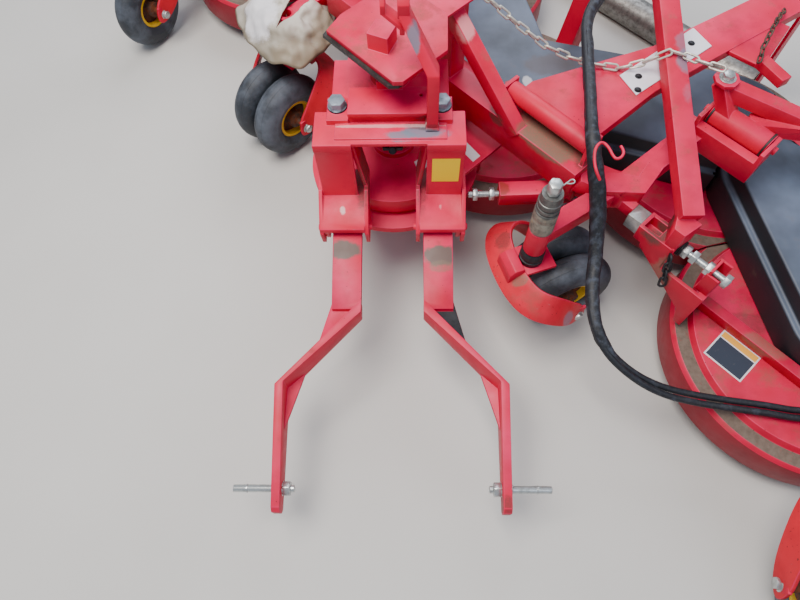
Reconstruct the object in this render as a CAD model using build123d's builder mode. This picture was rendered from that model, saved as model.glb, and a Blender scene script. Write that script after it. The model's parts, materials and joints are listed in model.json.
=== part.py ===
from build123d import *
from math import pi, radians, tan
import os

os.makedirs("parts", exist_ok=True)

# Folded rotary mower, millimetres, +Z up, ground at Z 0, kingpin on the Z axis.
# The headstock faces -Y. The mower behind it is swung round the kingpin for transport:
# its own frame has x along the row of decks and y to the rear of the working machine.

FOLD_TURN = -46.6
MOWER = Location((0, 0, 0), (0, 0, FOLD_TURN))

# The origin lies on the ground under the middle of the whole machine, this far from the kingpin
MIDDLE_X = 405.57
MIDDLE_Y = 288.92
HOME = Location((-MIDDLE_X, -MIDDLE_Y, 0))

SIDES = ((-1, "left"), (1, "right"))
PLATE = 12
RUNNING = 0.06

# Headstock
COLUMN_OUTER = 208
COLUMN_INNER = 103
COLUMN_FRONT = -264
COLUMN_BACK = -164
COLUMN_BOTTOM = 500
COLUMN_TOP = 720
CROSS_BACK = -150
RAISED_HALF = 112
RAISED_FRONT = -196
RAISED_BACK = -100
RAISED_TOP = 772
RAIL_WIDTH = 48
RAIL_INNER = 118
RAIL_BACK = 60
RAIL_HEIGHT = 90
FOOT_INNER = 72
FOOT_OUTER = 222
FOOT_FRONT = -360
FOOT_TOP = 455
FOOT_LIP = 437
FOOT_BOTTOM = 378

# Kingpin and what turns on it
KINGPIN_RADIUS = 35
SLEEVE_RADIUS = 60
SLEEVE_BOTTOM = 452
SLEEVE_TOP = 862
DRUM_RADIUS = 240
DRUM_TOP = 430
DRUM_WALL = 372
FLANGE_RADIUS = 285
FLANGE_TOP = 345
FLANGE_BOTTOM = 320
NECK_RADIUS = 205
COVER_BOTTOM = 880
COVER_THICK = 14
SEAL_THICK = 10

# Toolbar along the row, the post that rises from it and its braces
BAR = 100
BAR_Y = 245
BAR_TOP = 600
BAR_END = 560
POST_HALF = 45
BRACE = 44
BRACE_Y = 210

# Lower hitch arms
ARM_THICK = 25
ARM_BAR_WIDTH = 90
ARM_BAR_THICK = 28
ARM_CENTRE = 140
ARM_PIVOT_Y = -325
ARM_PIVOT_Z = 418
ARM_PIVOT_RADIUS = 10
ARM_BEND_Y = -575
ARM_KINK_Y = -804
ARM_END_Y = -1147
HITCH_HALF = 341.5
PIN_RADIUS = 11
PIN_Y = -1079
PIN_Z = 195
PIN_LENGTH = 120

# Decks: the rear pair is staggered behind the others so that the cuts overlap
DECK_RADIUS = 440
DECK_BOTTOM = 70
DECK_TOP = 200
DISC_TOP = 222
DECK_STEP = 52
SHEET = 6
DECK_CENTRE_Y = 560
DECK_WING = (1362, 545)
DECK_REAR = (690, 945)
ROTOR_RADIUS = 384
ROTOR_Z = 110
COVER_TOP = 380

# Castors: name, spindle x, spindle y, turn of the trailing wheel, wheels, trail
CASTORS = (
    ("inner_right", 587, 38, 65.6, 2, 130),
    ("inner_left", -636, 65, 275.1, 2, 130),
    ("outer_right", 1688, 60, -58.4, 1, 165),
    ("outer_left", -1559, 31, 286.6, 1, 165),
)
CROWN_TOP = 352
RING_TOP = 412
SPINDLE_SLEEVE = 34
SPINDLE_RADIUS = 20
SLEEVE_FOOT = 416
SLEEVE_HEAD = 525
SPINDLE_TOP = SLEEVE_HEAD + 213
TYRE_RADIUS = 165
TYRE_WIDTH = 104
TYRE_GAP = 12
RIM_RADIUS = 78
AXLE_RADIUS = 12.5

# Rear frames on rollers
HINGE_PIN = 12
HINGE_SLEEVE = 28
FRAME_HINGE_Y = 262
FRAME_HINGE_Z = 655
FRAME_HINGE = (245, 540)
WING_HINGE_Y = 672
WING_HINGE_Z = 600
WING_HINGE = (690, 880)
WING_SLEEVE = 38
LUG = 12
ROLLER_RADIUS = 65
ROLLER_GAP = 50
ROLLER_PIN = 15

# Long bars and the point above the rear where they meet
BAR_FOOT = (868, 320, 585)
APEX = (0, 1120, 880)
LONG_BAR = 60
CHANNEL = (772, 1030)
BLOCK = 724
CHANNEL_Y = (265, 335)
CHANNEL_Z = (440, 500)


def save(piece, name, place=Location()):
    """Write one finished piece under its own name."""
    solid = piece.part.moved(HOME * place)
    solid.label = name
    export_step(solid, f"parts/{name}.step")


def slab(x0, x1, y0, y1, z0, z1, mode=Mode.ADD):
    """A rectangular piece between two opposite corners."""
    with Locations(((x0 + x1) / 2, (y0 + y1) / 2, (z0 + z1) / 2)):
        Box(abs(x1 - x0), abs(y1 - y0), abs(z1 - z0), mode=mode)


def post(x, y, z0, z1, radius, mode=Mode.ADD):
    """An upright round piece."""
    with Locations((x, y, (z0 + z1) / 2)):
        Cylinder(radius, z1 - z0, mode=mode)


def strut(start, end, width, height, mode=Mode.ADD):
    """A straight rectangular tube between two points, its height as near upright as it can be."""
    a = Vector(*start)
    run = Vector(*end) - a
    side = Vector(-run.Y, run.X, 0)
    with BuildSketch(Plane(origin=a, x_dir=side, z_dir=run)) as section:
        Rectangle(width, height)
    extrude(section.sketch, amount=run.length, mode=mode)


def rod(start, end, radius, mode=Mode.ADD):
    """A straight round bar between two points."""
    a = Vector(*start)
    run = Vector(*end) - a
    with BuildSketch(Plane(origin=a, z_dir=run)) as section:
        Circle(radius)
    extrude(section.sketch, amount=run.length, mode=mode)


def flat(points, plane, thick, mode=Mode.ADD, taper=0.0):
    """A plate with straight edges, drawn on a plane and given its thickness along the normal."""
    with BuildSketch(plane) as section:
        with BuildLine():
            Polyline(*points, close=True)
        make_face()
    extrude(section.sketch, amount=thick, taper=taper, mode=mode)


def upright(points, x, thick, mode=Mode.ADD):
    """A plate drawn in y and z, from x on."""
    flat(points, Plane.YZ.offset(x), thick, mode)


def level(points, z, thick, mode=Mode.ADD, taper=0.0):
    """A plate drawn in x and y, from z on."""
    flat(points, Plane.XY.offset(z), thick, mode, taper)


def mirrored(side, points):
    """The same outline for the side of the machine that is asked for."""
    return [(side * x, y) for x, y in points]


# Headstock: two columns of cheeks and a folded front plate, feet, cross plate, raised plate and rails
CHEEK = (
    (COLUMN_FRONT, COLUMN_TOP),
    (COLUMN_FRONT, COLUMN_BOTTOM),
    (FOOT_FRONT, FOOT_TOP),
    (FOOT_FRONT, FOOT_LIP),
    (FOOT_FRONT + 22, FOOT_BOTTOM),
    (COLUMN_FRONT, FOOT_BOTTOM),
    (COLUMN_BACK, COLUMN_BOTTOM),
    (COLUMN_BACK, COLUMN_TOP),
)
BOLT_AT = (143, -148)
MAST_AT = (116, -205)
MAST_BEND_Z = 930
MAST_FOOT_Z = COLUMN_TOP + PLATE + 6
MAST_EYE_Y = -130
MAST_EYE_Z = 1055
MAST_HEAD = (80, MAST_EYE_Y - 28, MAST_EYE_Z - 44)
MAST_PIN_RADIUS = 9.6
MAST_SIZE = (15, 22)
CLEVIS = (-8, 4, 54, 66)
BOLT_HEAD = 24
with BuildPart() as headstock:
    for side, name in SIDES:
        upright(CHEEK, side * (COLUMN_OUTER - PLATE / 2) - PLATE / 2, PLATE)
        slab(side * FOOT_INNER, side * FOOT_OUTER, COLUMN_FRONT, COLUMN_BACK, COLUMN_BOTTOM - PLATE, COLUMN_BOTTOM)
        slab(side * COLUMN_INNER, side * COLUMN_OUTER, COLUMN_FRONT, COLUMN_FRONT + PLATE, COLUMN_BOTTOM, COLUMN_TOP)
        slab(side * COLUMN_INNER, side * COLUMN_OUTER, COLUMN_FRONT - 6, COLUMN_FRONT, COLUMN_TOP - 16, COLUMN_TOP + PLATE)
        foot = (
            (COLUMN_FRONT + PLATE, COLUMN_BOTTOM),
            (COLUMN_FRONT - 1, COLUMN_BOTTOM),
            (FOOT_FRONT, FOOT_TOP),
            (FOOT_FRONT, FOOT_LIP),
            (FOOT_FRONT + PLATE, FOOT_LIP),
            (FOOT_FRONT + PLATE, FOOT_TOP - PLATE),
            (COLUMN_FRONT + PLATE, COLUMN_BOTTOM - PLATE),
        )
        upright(foot, min(side * (FOOT_INNER + PLATE), side * FOOT_OUTER), FOOT_OUTER - FOOT_INNER - PLATE)
        inner_cheek = (
            (COLUMN_FRONT + 4, COLUMN_BOTTOM + 20),
            (FOOT_FRONT + 12, FOOT_TOP + 4),
            (FOOT_FRONT - 4, FOOT_TOP - 20),
            (FOOT_FRONT + 8, FOOT_BOTTOM - 6),
            (COLUMN_FRONT - 2, FOOT_BOTTOM),
            (COLUMN_FRONT + 30, COLUMN_BOTTOM - 60),
            (COLUMN_BACK - 20, COLUMN_BOTTOM - 24),
            (COLUMN_BACK - 20, COLUMN_BOTTOM + 20),
        )
        upright(inner_cheek, side * (FOOT_INNER + PLATE / 2) - PLATE / 2, PLATE)
        lean = ((COLUMN_INNER, COLUMN_TOP), (FOOT_INNER, COLUMN_BOTTOM), (FOOT_INNER + PLATE, COLUMN_BOTTOM), (COLUMN_INNER + PLATE, COLUMN_TOP))
        flat(mirrored(side, lean), Plane.XZ.offset(-COLUMN_BACK), 80)
        upright(inner_cheek, side * (FOOT_OUTER - PLATE / 2) - PLATE / 2, PLATE)
        slab(side * RAIL_INNER, side * (RAIL_INNER + RAIL_WIDTH), COLUMN_BACK, RAIL_BACK, COLUMN_TOP - RAIL_HEIGHT, COLUMN_TOP)
        slab(side * RAISED_HALF, side * (RAISED_HALF + 60), COLUMN_BACK - 34, COLUMN_BACK + 50, COLUMN_TOP + PLATE, RAISED_TOP - 22)
        post(side * BOLT_AT[0], BOLT_AT[1], RAISED_TOP - 22, RAISED_TOP - 16, BOLT_HEAD + 3)
        with BuildSketch(Plane.XY.offset(RAISED_TOP - 16)) as head:
            with Locations((side * BOLT_AT[0], BOLT_AT[1])):
                RegularPolygon(BOLT_HEAD, 6)
        extrude(head.sketch, amount=20)
    slab(-COLUMN_OUTER, COLUMN_OUTER, COLUMN_FRONT, CROSS_BACK, COLUMN_TOP, COLUMN_TOP + PLATE)
    slab(-COLUMN_OUTER + 60, COLUMN_OUTER - 52, COLUMN_FRONT + 12, RAISED_FRONT, COLUMN_TOP + PLATE, COLUMN_TOP + PLATE + 6)
    slab(-RAISED_HALF, RAISED_HALF, RAISED_FRONT, RAISED_BACK, RAISED_TOP - PLATE, RAISED_TOP)
    slab(-RAISED_HALF, RAISED_HALF, RAISED_FRONT + 8, RAISED_FRONT + 20, COLUMN_TOP + PLATE, RAISED_TOP - PLATE)
    slab(-RAISED_HALF, RAISED_HALF, RAISED_BACK - 20, RAISED_BACK - 8, COLUMN_TOP - 40, RAISED_TOP - PLATE)
    slab(-RAIL_INNER, RAIL_INNER, COLUMN_BACK, RAISED_BACK, COLUMN_TOP - 60, COLUMN_TOP)
    slab(-RAIL_INNER - 10, RAIL_INNER + 10, -70, 70, COLUMN_TOP - RAIL_HEIGHT, COLUMN_TOP)
    slab(-58, 100, RAISED_BACK + 12, RAISED_BACK + 26, COLUMN_TOP, COLUMN_TOP + 22)
    post(86, RAISED_FRONT + 66, RAISED_TOP - PLATE - 1, RAISED_TOP + 1, 5, Mode.SUBTRACT)
    post(0, 0, SLEEVE_BOTTOM, SLEEVE_TOP, SLEEVE_RADIUS)
    slab(-35, 35, RAISED_BACK - 10, -SLEEVE_RADIUS + 15, COLUMN_TOP - 60, COLUMN_TOP + 80)
    post(0, 0, SLEEVE_BOTTOM - 1, SLEEVE_TOP + 1, KINGPIN_RADIUS + RUNNING, Mode.SUBTRACT)
    for side, name in SIDES:
        rod(
            (side * (FOOT_INNER - 8), ARM_PIVOT_Y, ARM_PIVOT_Z),
            (side * (FOOT_OUTER + 8), ARM_PIVOT_Y, ARM_PIVOT_Z),
            ARM_PIVOT_RADIUS,
        )
    x, y = MAST_AT
    slab(x - MAST_SIZE[0], x + MAST_SIZE[0], y - MAST_SIZE[1], y + MAST_SIZE[1], MAST_FOOT_Z, MAST_BEND_Z, Mode.SUBTRACT)
save(headstock, "headstock")

# Top link mast: one bent bar on the right of the raised plate, which leans in and back to a clevis
with BuildPart() as mast:
    x, y = MAST_AT
    slab(x - MAST_SIZE[0], x + MAST_SIZE[0], y - MAST_SIZE[1], y + MAST_SIZE[1], MAST_FOOT_Z, MAST_BEND_Z + 8)
    strut((x - 2, y, MAST_BEND_Z - 8), MAST_HEAD, 44, 26)
    for x0, x1 in (CLEVIS[:2], CLEVIS[2:]):
        eye = (
            (MAST_EYE_Y - 58, MAST_EYE_Z - 96),
            (MAST_EYE_Y - 24, MAST_EYE_Z + 8),
            (MAST_EYE_Y - 10, MAST_EYE_Z + 26),
            (MAST_EYE_Y + 14, MAST_EYE_Z + 22),
            (MAST_EYE_Y + 26, MAST_EYE_Z - 6),
            (MAST_EYE_Y - 18, MAST_EYE_Z - 96),
        )
        upright(eye, x0, x1 - x0)
    slab(CLEVIS[0], CLEVIS[3] + 20, MAST_EYE_Y - 56, MAST_EYE_Y - 20, MAST_EYE_Z - 96, MAST_EYE_Z - 72)
    rod((-40, MAST_EYE_Y, MAST_EYE_Z), (100, MAST_EYE_Y, MAST_EYE_Z), MAST_PIN_RADIUS, Mode.SUBTRACT)
    gusset = ((88, COLUMN_TOP + 60), (102, COLUMN_TOP + 60), (102, COLUMN_TOP + 130))
    flat(gusset, Plane.XZ.offset(-y - 4), 8)
save(mast, "top_link_mast")

# Lower hitch arms: a flat bar in the foot, a plate on edge bent out and then forward, the hitch pin
for side, name in SIDES:
    with BuildPart() as blade:
        edge = HITCH_HALF - ARM_THICK / 2
        inner = ARM_CENTRE - ARM_BAR_WIDTH / 2
        plan = (
            (inner, ARM_BEND_Y + 26),
            (edge + ARM_THICK / 2, ARM_KINK_Y),
            (edge + ARM_THICK / 2, ARM_END_Y),
            (edge - ARM_THICK / 2, ARM_END_Y),
            (edge - ARM_THICK / 2, ARM_KINK_Y + 8),
            (inner, ARM_BEND_Y - 12),
        )
        level(mirrored(side, plan), 100, 400)
        profile = (
            (ARM_BEND_Y + 30, 365),
            (ARM_BEND_Y + 30, 310),
            (ARM_KINK_Y, PIN_Z + 25),
            (ARM_END_Y + 10, PIN_Z - 30),
            (ARM_END_Y, PIN_Z - 18),
            (ARM_END_Y, PIN_Z + 18),
            (ARM_END_Y + 12, PIN_Z + 32),
            (ARM_KINK_Y, 330),
        )
        upright(profile, -400, 800, Mode.INTERSECT)
    with BuildPart() as whole_arm:
        bar = (
            (ARM_PIVOT_Y + 22, ARM_PIVOT_Z + ARM_BAR_THICK / 2),
            (ARM_PIVOT_Y + 22, ARM_PIVOT_Z - ARM_BAR_THICK / 2),
            (ARM_BEND_Y, 322),
            (ARM_BEND_Y, 350),
        )
        upright(bar, side * ARM_CENTRE - ARM_BAR_WIDTH / 2, ARM_BAR_WIDTH)
        reach = ARM_BAR_WIDTH
        rod(
            (side * (ARM_CENTRE - reach), ARM_PIVOT_Y, ARM_PIVOT_Z),
            (side * (ARM_CENTRE + reach), ARM_PIVOT_Y, ARM_PIVOT_Z),
            ARM_PIVOT_RADIUS + RUNNING,
            Mode.SUBTRACT,
        )
        add(blade.part)
        gusset = (
            (ARM_CENTRE + 45, ARM_BEND_Y + 40),
            (ARM_CENTRE + 45, ARM_BEND_Y),
            (ARM_CENTRE - 45, ARM_BEND_Y),
            (ARM_CENTRE + 60, ARM_BEND_Y - 110),
            (ARM_CENTRE + 80, ARM_BEND_Y - 100),
        )
        level(mirrored(side, gusset), 322, 10)
        web = ((252, -700), (edge - ARM_THICK / 2 + 2, ARM_KINK_Y + 16), (edge - ARM_THICK / 2 + 2, -930))
        level(mirrored(side, web), 246, 10)
        rod(
            (side * (HITCH_HALF - 50), PIN_Y, PIN_Z),
            (side * (HITCH_HALF + PIN_LENGTH), PIN_Y, PIN_Z),
            PIN_RADIUS,
        )
        rod(
            (side * (HITCH_HALF - ARM_THICK - 22), PIN_Y, PIN_Z),
            (side * (HITCH_HALF - ARM_THICK), PIN_Y, PIN_Z),
            PIN_RADIUS + 8,
        )
    save(whole_arm, f"hitch_arm_{name}")

# Carrier: drum and kingpin, base plate, toolbar, post with two braces, arms to the castors and hinges
with BuildPart() as carrier:
    post(0, 0, DRUM_WALL, DRUM_TOP, DRUM_RADIUS)
    post(0, 0, FLANGE_TOP, DRUM_WALL, NECK_RADIUS)
    post(0, 0, FLANGE_BOTTOM, FLANGE_TOP, FLANGE_RADIUS)
    post(0, 0, DRUM_TOP, SLEEVE_BOTTOM - 0.3, KINGPIN_RADIUS * 2)
    post(0, 0, DRUM_TOP, COVER_BOTTOM - SEAL_THICK, KINGPIN_RADIUS)
    slab(-255, 255, 60, BAR_Y + 10, DRUM_TOP - 14, DRUM_TOP)
    slab(-120, 120, 120, BAR_Y, DRUM_WALL, DRUM_TOP)
    for side, name in SIDES:
        slab(side * 120, side * 180, 200, 250, DISC_TOP, FLANGE_TOP)
    slab(-BAR_END, BAR_END, BAR_Y - BAR / 2, BAR_Y + BAR / 2, BAR_TOP - BAR, BAR_TOP)
    slab(-100, 100, BAR_Y - 40, BAR_Y + 40, DRUM_WALL, BAR_TOP - BAR)
    slab(-POST_HALF, POST_HALF, BAR_Y - 40, BAR_Y + 20, BAR_TOP, COVER_BOTTOM - SEAL_THICK)
    slab(-70, 70, -60, BAR_Y + 20, SLEEVE_TOP + 0.3, COVER_BOTTOM - SEAL_THICK)
    slab(-100, 0, -100, 60, SLEEVE_TOP + 0.3, COVER_BOTTOM - SEAL_THICK)
    for side, name in SIDES:
        strut((side * 40, BRACE_Y, COVER_BOTTOM - 50), (side * 330, BRACE_Y, BAR_TOP - 20), BRACE, BRACE)
        for x in (FRAME_HINGE[0] - LUG - 2, FRAME_HINGE[1] + 2):
            slab(side * x, side * (x + LUG), FRAME_HINGE_Y - 30, FRAME_HINGE_Y + 30, BAR_TOP, FRAME_HINGE_Z + 28)
        rod(
            (side * (FRAME_HINGE[0] - LUG - 12), FRAME_HINGE_Y, FRAME_HINGE_Z),
            (side * (FRAME_HINGE[1] + LUG + 12), FRAME_HINGE_Y, FRAME_HINGE_Z),
            HINGE_PIN,
        )
        chevron = (
            (BAR_END - 20, BAR_Y - 10),
            (BAR_END + 71, BAR_Y + 5),
            (722, 338),
            (700, 470),
            (655, 462),
            (672, 372),
            (612, 330),
            (BAR_END - 20, 325 - 35),
        )
        level(mirrored(side, chevron), 528, 14)
        lip = ((BAR_END - 20, BAR_Y - 10), (BAR_END + 71, BAR_Y + 5), (722, 338), (712, 346), (BAR_END + 66, BAR_Y + 17), (BAR_END - 20, BAR_Y + 2))
        level(mirrored(side, lip), 462, 66)
        strut((side * 540, BAR_Y, 545), (side * 640, 320, 500), 90, 54)
        strut((side * 655, 335, 500), (side * 690, 650, 540), 70, 56)
        slab(side * 650, side * BLOCK, 300, 330, 455, CHANNEL_Z[1] - 4)
        slab(side * 650, side * 895, 600, 632, 510, 590)
        for x in (WING_HINGE[0] - LUG - 2, WING_HINGE[1] + 2):
            slab(side * x, side * (x + LUG), 600, WING_HINGE_Y + 24, 540, WING_HINGE_Z + 30)
        rod(
            (side * (WING_HINGE[0] - LUG - 12), WING_HINGE_Y, WING_HINGE_Z),
            (side * (WING_HINGE[1] + LUG + 12), WING_HINGE_Y, WING_HINGE_Z),
            HINGE_PIN,
        )
    for name, x, y, turn, wheels, trail in CASTORS:
        if wheels == 2:
            corner = 645 if x > 0 else -645
            strut((corner, 340, 490), (x, y, 490), 56, 56)
            post(x, y, SLEEVE_FOOT, SLEEVE_HEAD, SPINDLE_SLEEVE)
            post(x, y, SLEEVE_FOOT - 1, SLEEVE_HEAD + 200, SPINDLE_RADIUS + RUNNING, Mode.SUBTRACT)
    strut((388, 87, 445), (541, 259, 445), 52, 52)
    slab(515, BAR_END, 225, 285, 445, BAR_TOP - BAR)
save(carrier, "carrier_frame", MOWER)

# Loose cover that hangs over the left inner castor, open round its spindle and over its arm
COWL_AT = (-412, 545)
COWL_HALF = (205, 185)
COWL_BOTTOM = 440
COWL_TOP = 518
COWL_SHEET = 5
COWL_FLARE = 30
COWL_OPENING = ((-421, 444), (-347, 512), (-313, 579), (-357, 580), (-420, 513))
COWL_GAP = 6
COWL_REAR = 188
with BuildPart() as cowl:
    for inset, z0, z1, mode in ((0, COWL_BOTTOM, COWL_TOP + COWL_SHEET, Mode.ADD), (COWL_SHEET, COWL_BOTTOM - 1, COWL_TOP, Mode.SUBTRACT)):
        with BuildSketch(Plane.XY.offset(z0)) as brim:
            with Locations(COWL_AT):
                Ellipse(COWL_HALF[0] - inset, COWL_HALF[1] - inset)
        extrude(brim.sketch, amount=z1 - z0, taper=COWL_FLARE, mode=mode)
    level(COWL_OPENING, COWL_TOP - 1, COWL_SHEET + 2, Mode.SUBTRACT)
    with Locations(MOWER * Location((-650, COWL_REAR + 150, COWL_TOP))):
        Box(800, 300, 300, mode=Mode.SUBTRACT)
    name, x, y, turn, wheels, trail = next(row for row in CASTORS if row[0] == "inner_left")
    spindle = MOWER * Location((x, y, 0))
    corner = MOWER * Location((-645, 340, 0))
    a = corner.position
    b = spindle.position
    strut((a.X, a.Y, COWL_TOP - 45), (b.X, b.Y, COWL_TOP - 45), 56 + 2 * COWL_GAP, 90, Mode.SUBTRACT)
    post(b.X, b.Y, COWL_BOTTOM - 1, COWL_TOP + COWL_SHEET + 1, SPINDLE_SLEEVE + COWL_GAP, Mode.SUBTRACT)
save(cowl, "castor_cowl")

# Stop bolt of the swing with its two nuts, screwed into the end of the lower tube
STOP_FACE = (388, 87, 445)
STOP_LENGTH = 98
with BuildPart() as stop_bolt:
    along = Vector(541 - 388, 259 - 87, 0).normalized()
    start = Vector(*STOP_FACE)
    for distance, length, radius in ((0, STOP_LENGTH, 9), (8, 13, 17), (60, 13, 17)):
        a = start - along * distance
        b = a - along * length
        rod((a.X, a.Y, a.Z), (b.X, b.Y, b.Z), radius)
save(stop_bolt, "swing_stop_bolt", MOWER)

# Cover over the pivot on its rubber seal, with a square stub on top
LID = ((-116, -67), (-96, -133), (160, -131), (177, -112), (177, 45), (84, 137), (-96, 137), (-116, 110))
with BuildPart() as cover:
    level(LID, COVER_BOTTOM, COVER_THICK)
    with Locations(Location((46, -62, COVER_BOTTOM + COVER_THICK + 24), (0, 0, 23))):
        Box(58, 58, 48)
save(cover, "pivot_cover", MOWER)
with BuildPart() as seal:
    level([(x - 8, y - 8) for x, y in LID], COVER_BOTTOM - SEAL_THICK, SEAL_THICK)
save(seal, "pivot_seal", MOWER)


# Decks: a round pan with a skirt, a raised disc and open sides where it meets the next one
def pan(at, neighbours):
    """One deck pan at its place in the row, cut flat half way to each neighbour."""
    outline = (
        (SPINDLE_RADIUS + RUNNING, DISC_TOP),
        (DECK_RADIUS - DECK_STEP - 10, DISC_TOP),
        (DECK_RADIUS - DECK_STEP, DECK_TOP),
        (DECK_RADIUS - 12, DECK_TOP),
        (DECK_RADIUS, DECK_TOP - 12),
        (DECK_RADIUS, DECK_BOTTOM),
        (DECK_RADIUS - SHEET, DECK_BOTTOM),
        (DECK_RADIUS - SHEET, DECK_TOP - 14),
        (DECK_RADIUS - 14, DECK_TOP - SHEET),
        (DECK_RADIUS - DECK_STEP - SHEET, DECK_TOP - SHEET),
        (DECK_RADIUS - DECK_STEP - 14, DISC_TOP - SHEET),
        (HUB_RADIUS, DISC_TOP - SHEET),
        (HUB_RADIUS, DISC_TOP - 40),
        (SPINDLE_RADIUS + RUNNING, DISC_TOP - 40),
    )
    with BuildSketch(Plane.XZ) as half:
        with BuildLine():
            Polyline(*outline, close=True)
        make_face()
    with Locations((at[0], at[1], 0)):
        add(revolve(half.sketch, axis=Axis.Z, mode=Mode.PRIVATE))
    for other, slit in neighbours:
        run = Vector(other[0] - at[0], other[1] - at[1], 0)
        middle = Vector(at[0], at[1], 0) + run * 0.5 - run.normalized() * slit
        with BuildSketch(Plane(origin=middle, z_dir=run)) as end:
            Rectangle(3 * DECK_RADIUS, 3 * DECK_RADIUS)
        extrude(end.sketch, amount=DECK_RADIUS, mode=Mode.SUBTRACT)


HUB_RADIUS = 45
SLIT = 3
CENTRE = (0, DECK_CENTRE_Y)
REAR = {side: (side * DECK_REAR[0], DECK_REAR[1]) for side, name in SIDES}
WING = {side: (side * DECK_WING[0], DECK_WING[1]) for side, name in SIDES}
with BuildPart() as deck:
    pan(CENTRE, ((REAR[-1], 0), (REAR[1], 0)))
save(deck, "deck_centre", MOWER)
with BuildPart() as rear_decks:
    for side, name in SIDES:
        with BuildPart() as deck:
            pan(REAR[side], ((CENTRE, 0), (WING[side], SLIT)))
save(rear_decks, "decks_rear", MOWER)
for side, name in SIDES:
    with BuildPart() as deck:
        pan(WING[side], ((REAR[side], SLIT),))
    save(deck, f"deck_wing_{name}", MOWER)

BLADE_HALF = 35
ROTORS = (("centre", CENTRE), ("rear_left", REAR[-1]), ("rear_right", REAR[1]), ("wing_left", WING[-1]), ("wing_right", WING[1]))
for name, at in ROTORS:
    with BuildPart() as rotor:
        post(0, 0, ROTOR_Z, DISC_TOP + 30, SPINDLE_RADIUS)
        post(0, 0, ROTOR_Z, DISC_TOP - 46, 60)
        slab(-ROTOR_RADIUS + 30, ROTOR_RADIUS - 30, -BLADE_HALF, BLADE_HALF, ROTOR_Z - 10, ROTOR_Z)
        for end in (-1, 1):
            blade = ((ROTOR_RADIUS - 110, BLADE_HALF - 8), (ROTOR_RADIUS, BLADE_HALF - 8), (ROTOR_RADIUS - 6, -BLADE_HALF - 8), (ROTOR_RADIUS - 110, -BLADE_HALF - 8))
            level([(end * x, end * y) for x, y in blade], ROTOR_Z - 16, 6)
            post(end * (ROTOR_RADIUS - 70), 0, ROTOR_Z - 24, ROTOR_Z + 8, 14)
    save(rotor, f"rotor_{name}", MOWER * Location((at[0], at[1], 0)))

# Belt covers: the centre one reaches to both rear rotors, each wing one lies along its belt
COVER_STEP = 322
COVER_INSET = 22
WING_COVER = ((1362, 545), (915, 850))
WING_COVER_RADIUS = 150
CENTRE_COVER_RADIUS = 200
REAR_COVER_RADIUS = 225
COVER_GAP = 6


def belt_case(ends, radii, z0, z1, mode=Mode.ADD):
    """A flat case round two pulleys."""
    a = Vector(*ends[0], z0)
    b = Vector(*ends[1], z0)
    run = (b - a).normalized()
    side = Vector(-run.Y, run.X, 0)
    for centre, radius in zip((a, b), radii):
        post(centre.X, centre.Y, z0, z1, radius, mode)
    corners = (a + side * radii[0], b + side * radii[1], b - side * radii[1], a - side * radii[0])
    level([(c.X, c.Y) for c in corners], z0, z1 - z0, mode)


with BuildPart() as belt_cover:
    for side, name in SIDES:
        belt_case((CENTRE, REAR[side]), (CENTRE_COVER_RADIUS, REAR_COVER_RADIUS), DISC_TOP, COVER_STEP)
        belt_case(
            (CENTRE, REAR[side]),
            (CENTRE_COVER_RADIUS - COVER_INSET, REAR_COVER_RADIUS - COVER_INSET),
            COVER_STEP,
            COVER_TOP,
        )
    for side, name in SIDES:
        ends = [(side * x, y) for x, y in WING_COVER]
        clear = WING_COVER_RADIUS + COVER_GAP
        belt_case(ends, (clear, clear), DISC_TOP - 1, COVER_TOP + 1, Mode.SUBTRACT)
    for x, y in (CENTRE, REAR[-1], REAR[1]):
        post(x, y, DISC_TOP - 1, DISC_TOP + 36, HUB_RADIUS, Mode.SUBTRACT)
save(belt_cover, "belt_cover_centre", MOWER)
with BuildPart() as belt_covers:
    for side, name in SIDES:
        ends = [(side * x, y) for x, y in WING_COVER]
        inset = WING_COVER_RADIUS - COVER_INSET
        belt_case(ends, (WING_COVER_RADIUS, WING_COVER_RADIUS), DISC_TOP, COVER_STEP + 20)
        belt_case(ends, (inset, inset), COVER_STEP + 20, COVER_TOP + 20)
        post(WING[side][0], WING[side][1], DISC_TOP - 1, DISC_TOP + 36, HUB_RADIUS, Mode.SUBTRACT)
save(belt_covers, "belt_covers_wing", MOWER)

# Wing bars: a channel with a square end block, a front plate down to the deck, a rib along the deck
RIB_Y = (355, 392)
RIB_END = 1700
PORT = (1270, -871)
with BuildPart() as wing_bars:
    for side, name in SIDES:
        slab(side * CHANNEL[0], side * CHANNEL[1], CHANNEL_Y[0], CHANNEL_Y[1], CHANNEL_Z[0], CHANNEL_Z[1])
        drop = ((800, CHANNEL_Z[1]), (800, 425), (1000, 285), (1018, DISC_TOP), (1042, DISC_TOP), (1042, CHANNEL_Z[1]))
        flat(mirrored(side, drop), Plane.XZ.offset(-CHANNEL_Y[0] - PLATE), PLATE)
        slab(side * 1018, side * 1042, CHANNEL_Y[0], RIB_Y[1], DISC_TOP, CHANNEL_Z[1])
        slab(side * 1018, side * RIB_END, RIB_Y[0], RIB_Y[1], DISC_TOP, DISC_TOP + 40)
        slab(side * 1600, side * 1640, RIB_Y[0] - 60, RIB_Y[1], DISC_TOP, 514)
        x, y = next((row[1], row[2]) for row in CASTORS if row[0] == f"outer_{name}")
        strut((side * 1620, RIB_Y[0] - 30, 486), (x, y, 486), 56, 56)
        post(x, y, SLEEVE_FOOT, SLEEVE_HEAD, SPINDLE_SLEEVE)
        post(x, y, SLEEVE_FOOT - 1, SLEEVE_HEAD + 200, SPINDLE_RADIUS + RUNNING, Mode.SUBTRACT)
        rod((side * 926, 310, CHANNEL_Z[1] + 12), (side * 1050, 366, 418), 10)
    port = MOWER.inverse() * Location((PORT[0] + 30, PORT[1], DISC_TOP + 25))
    with Locations(port):
        Box(60, 80, 50)
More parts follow.
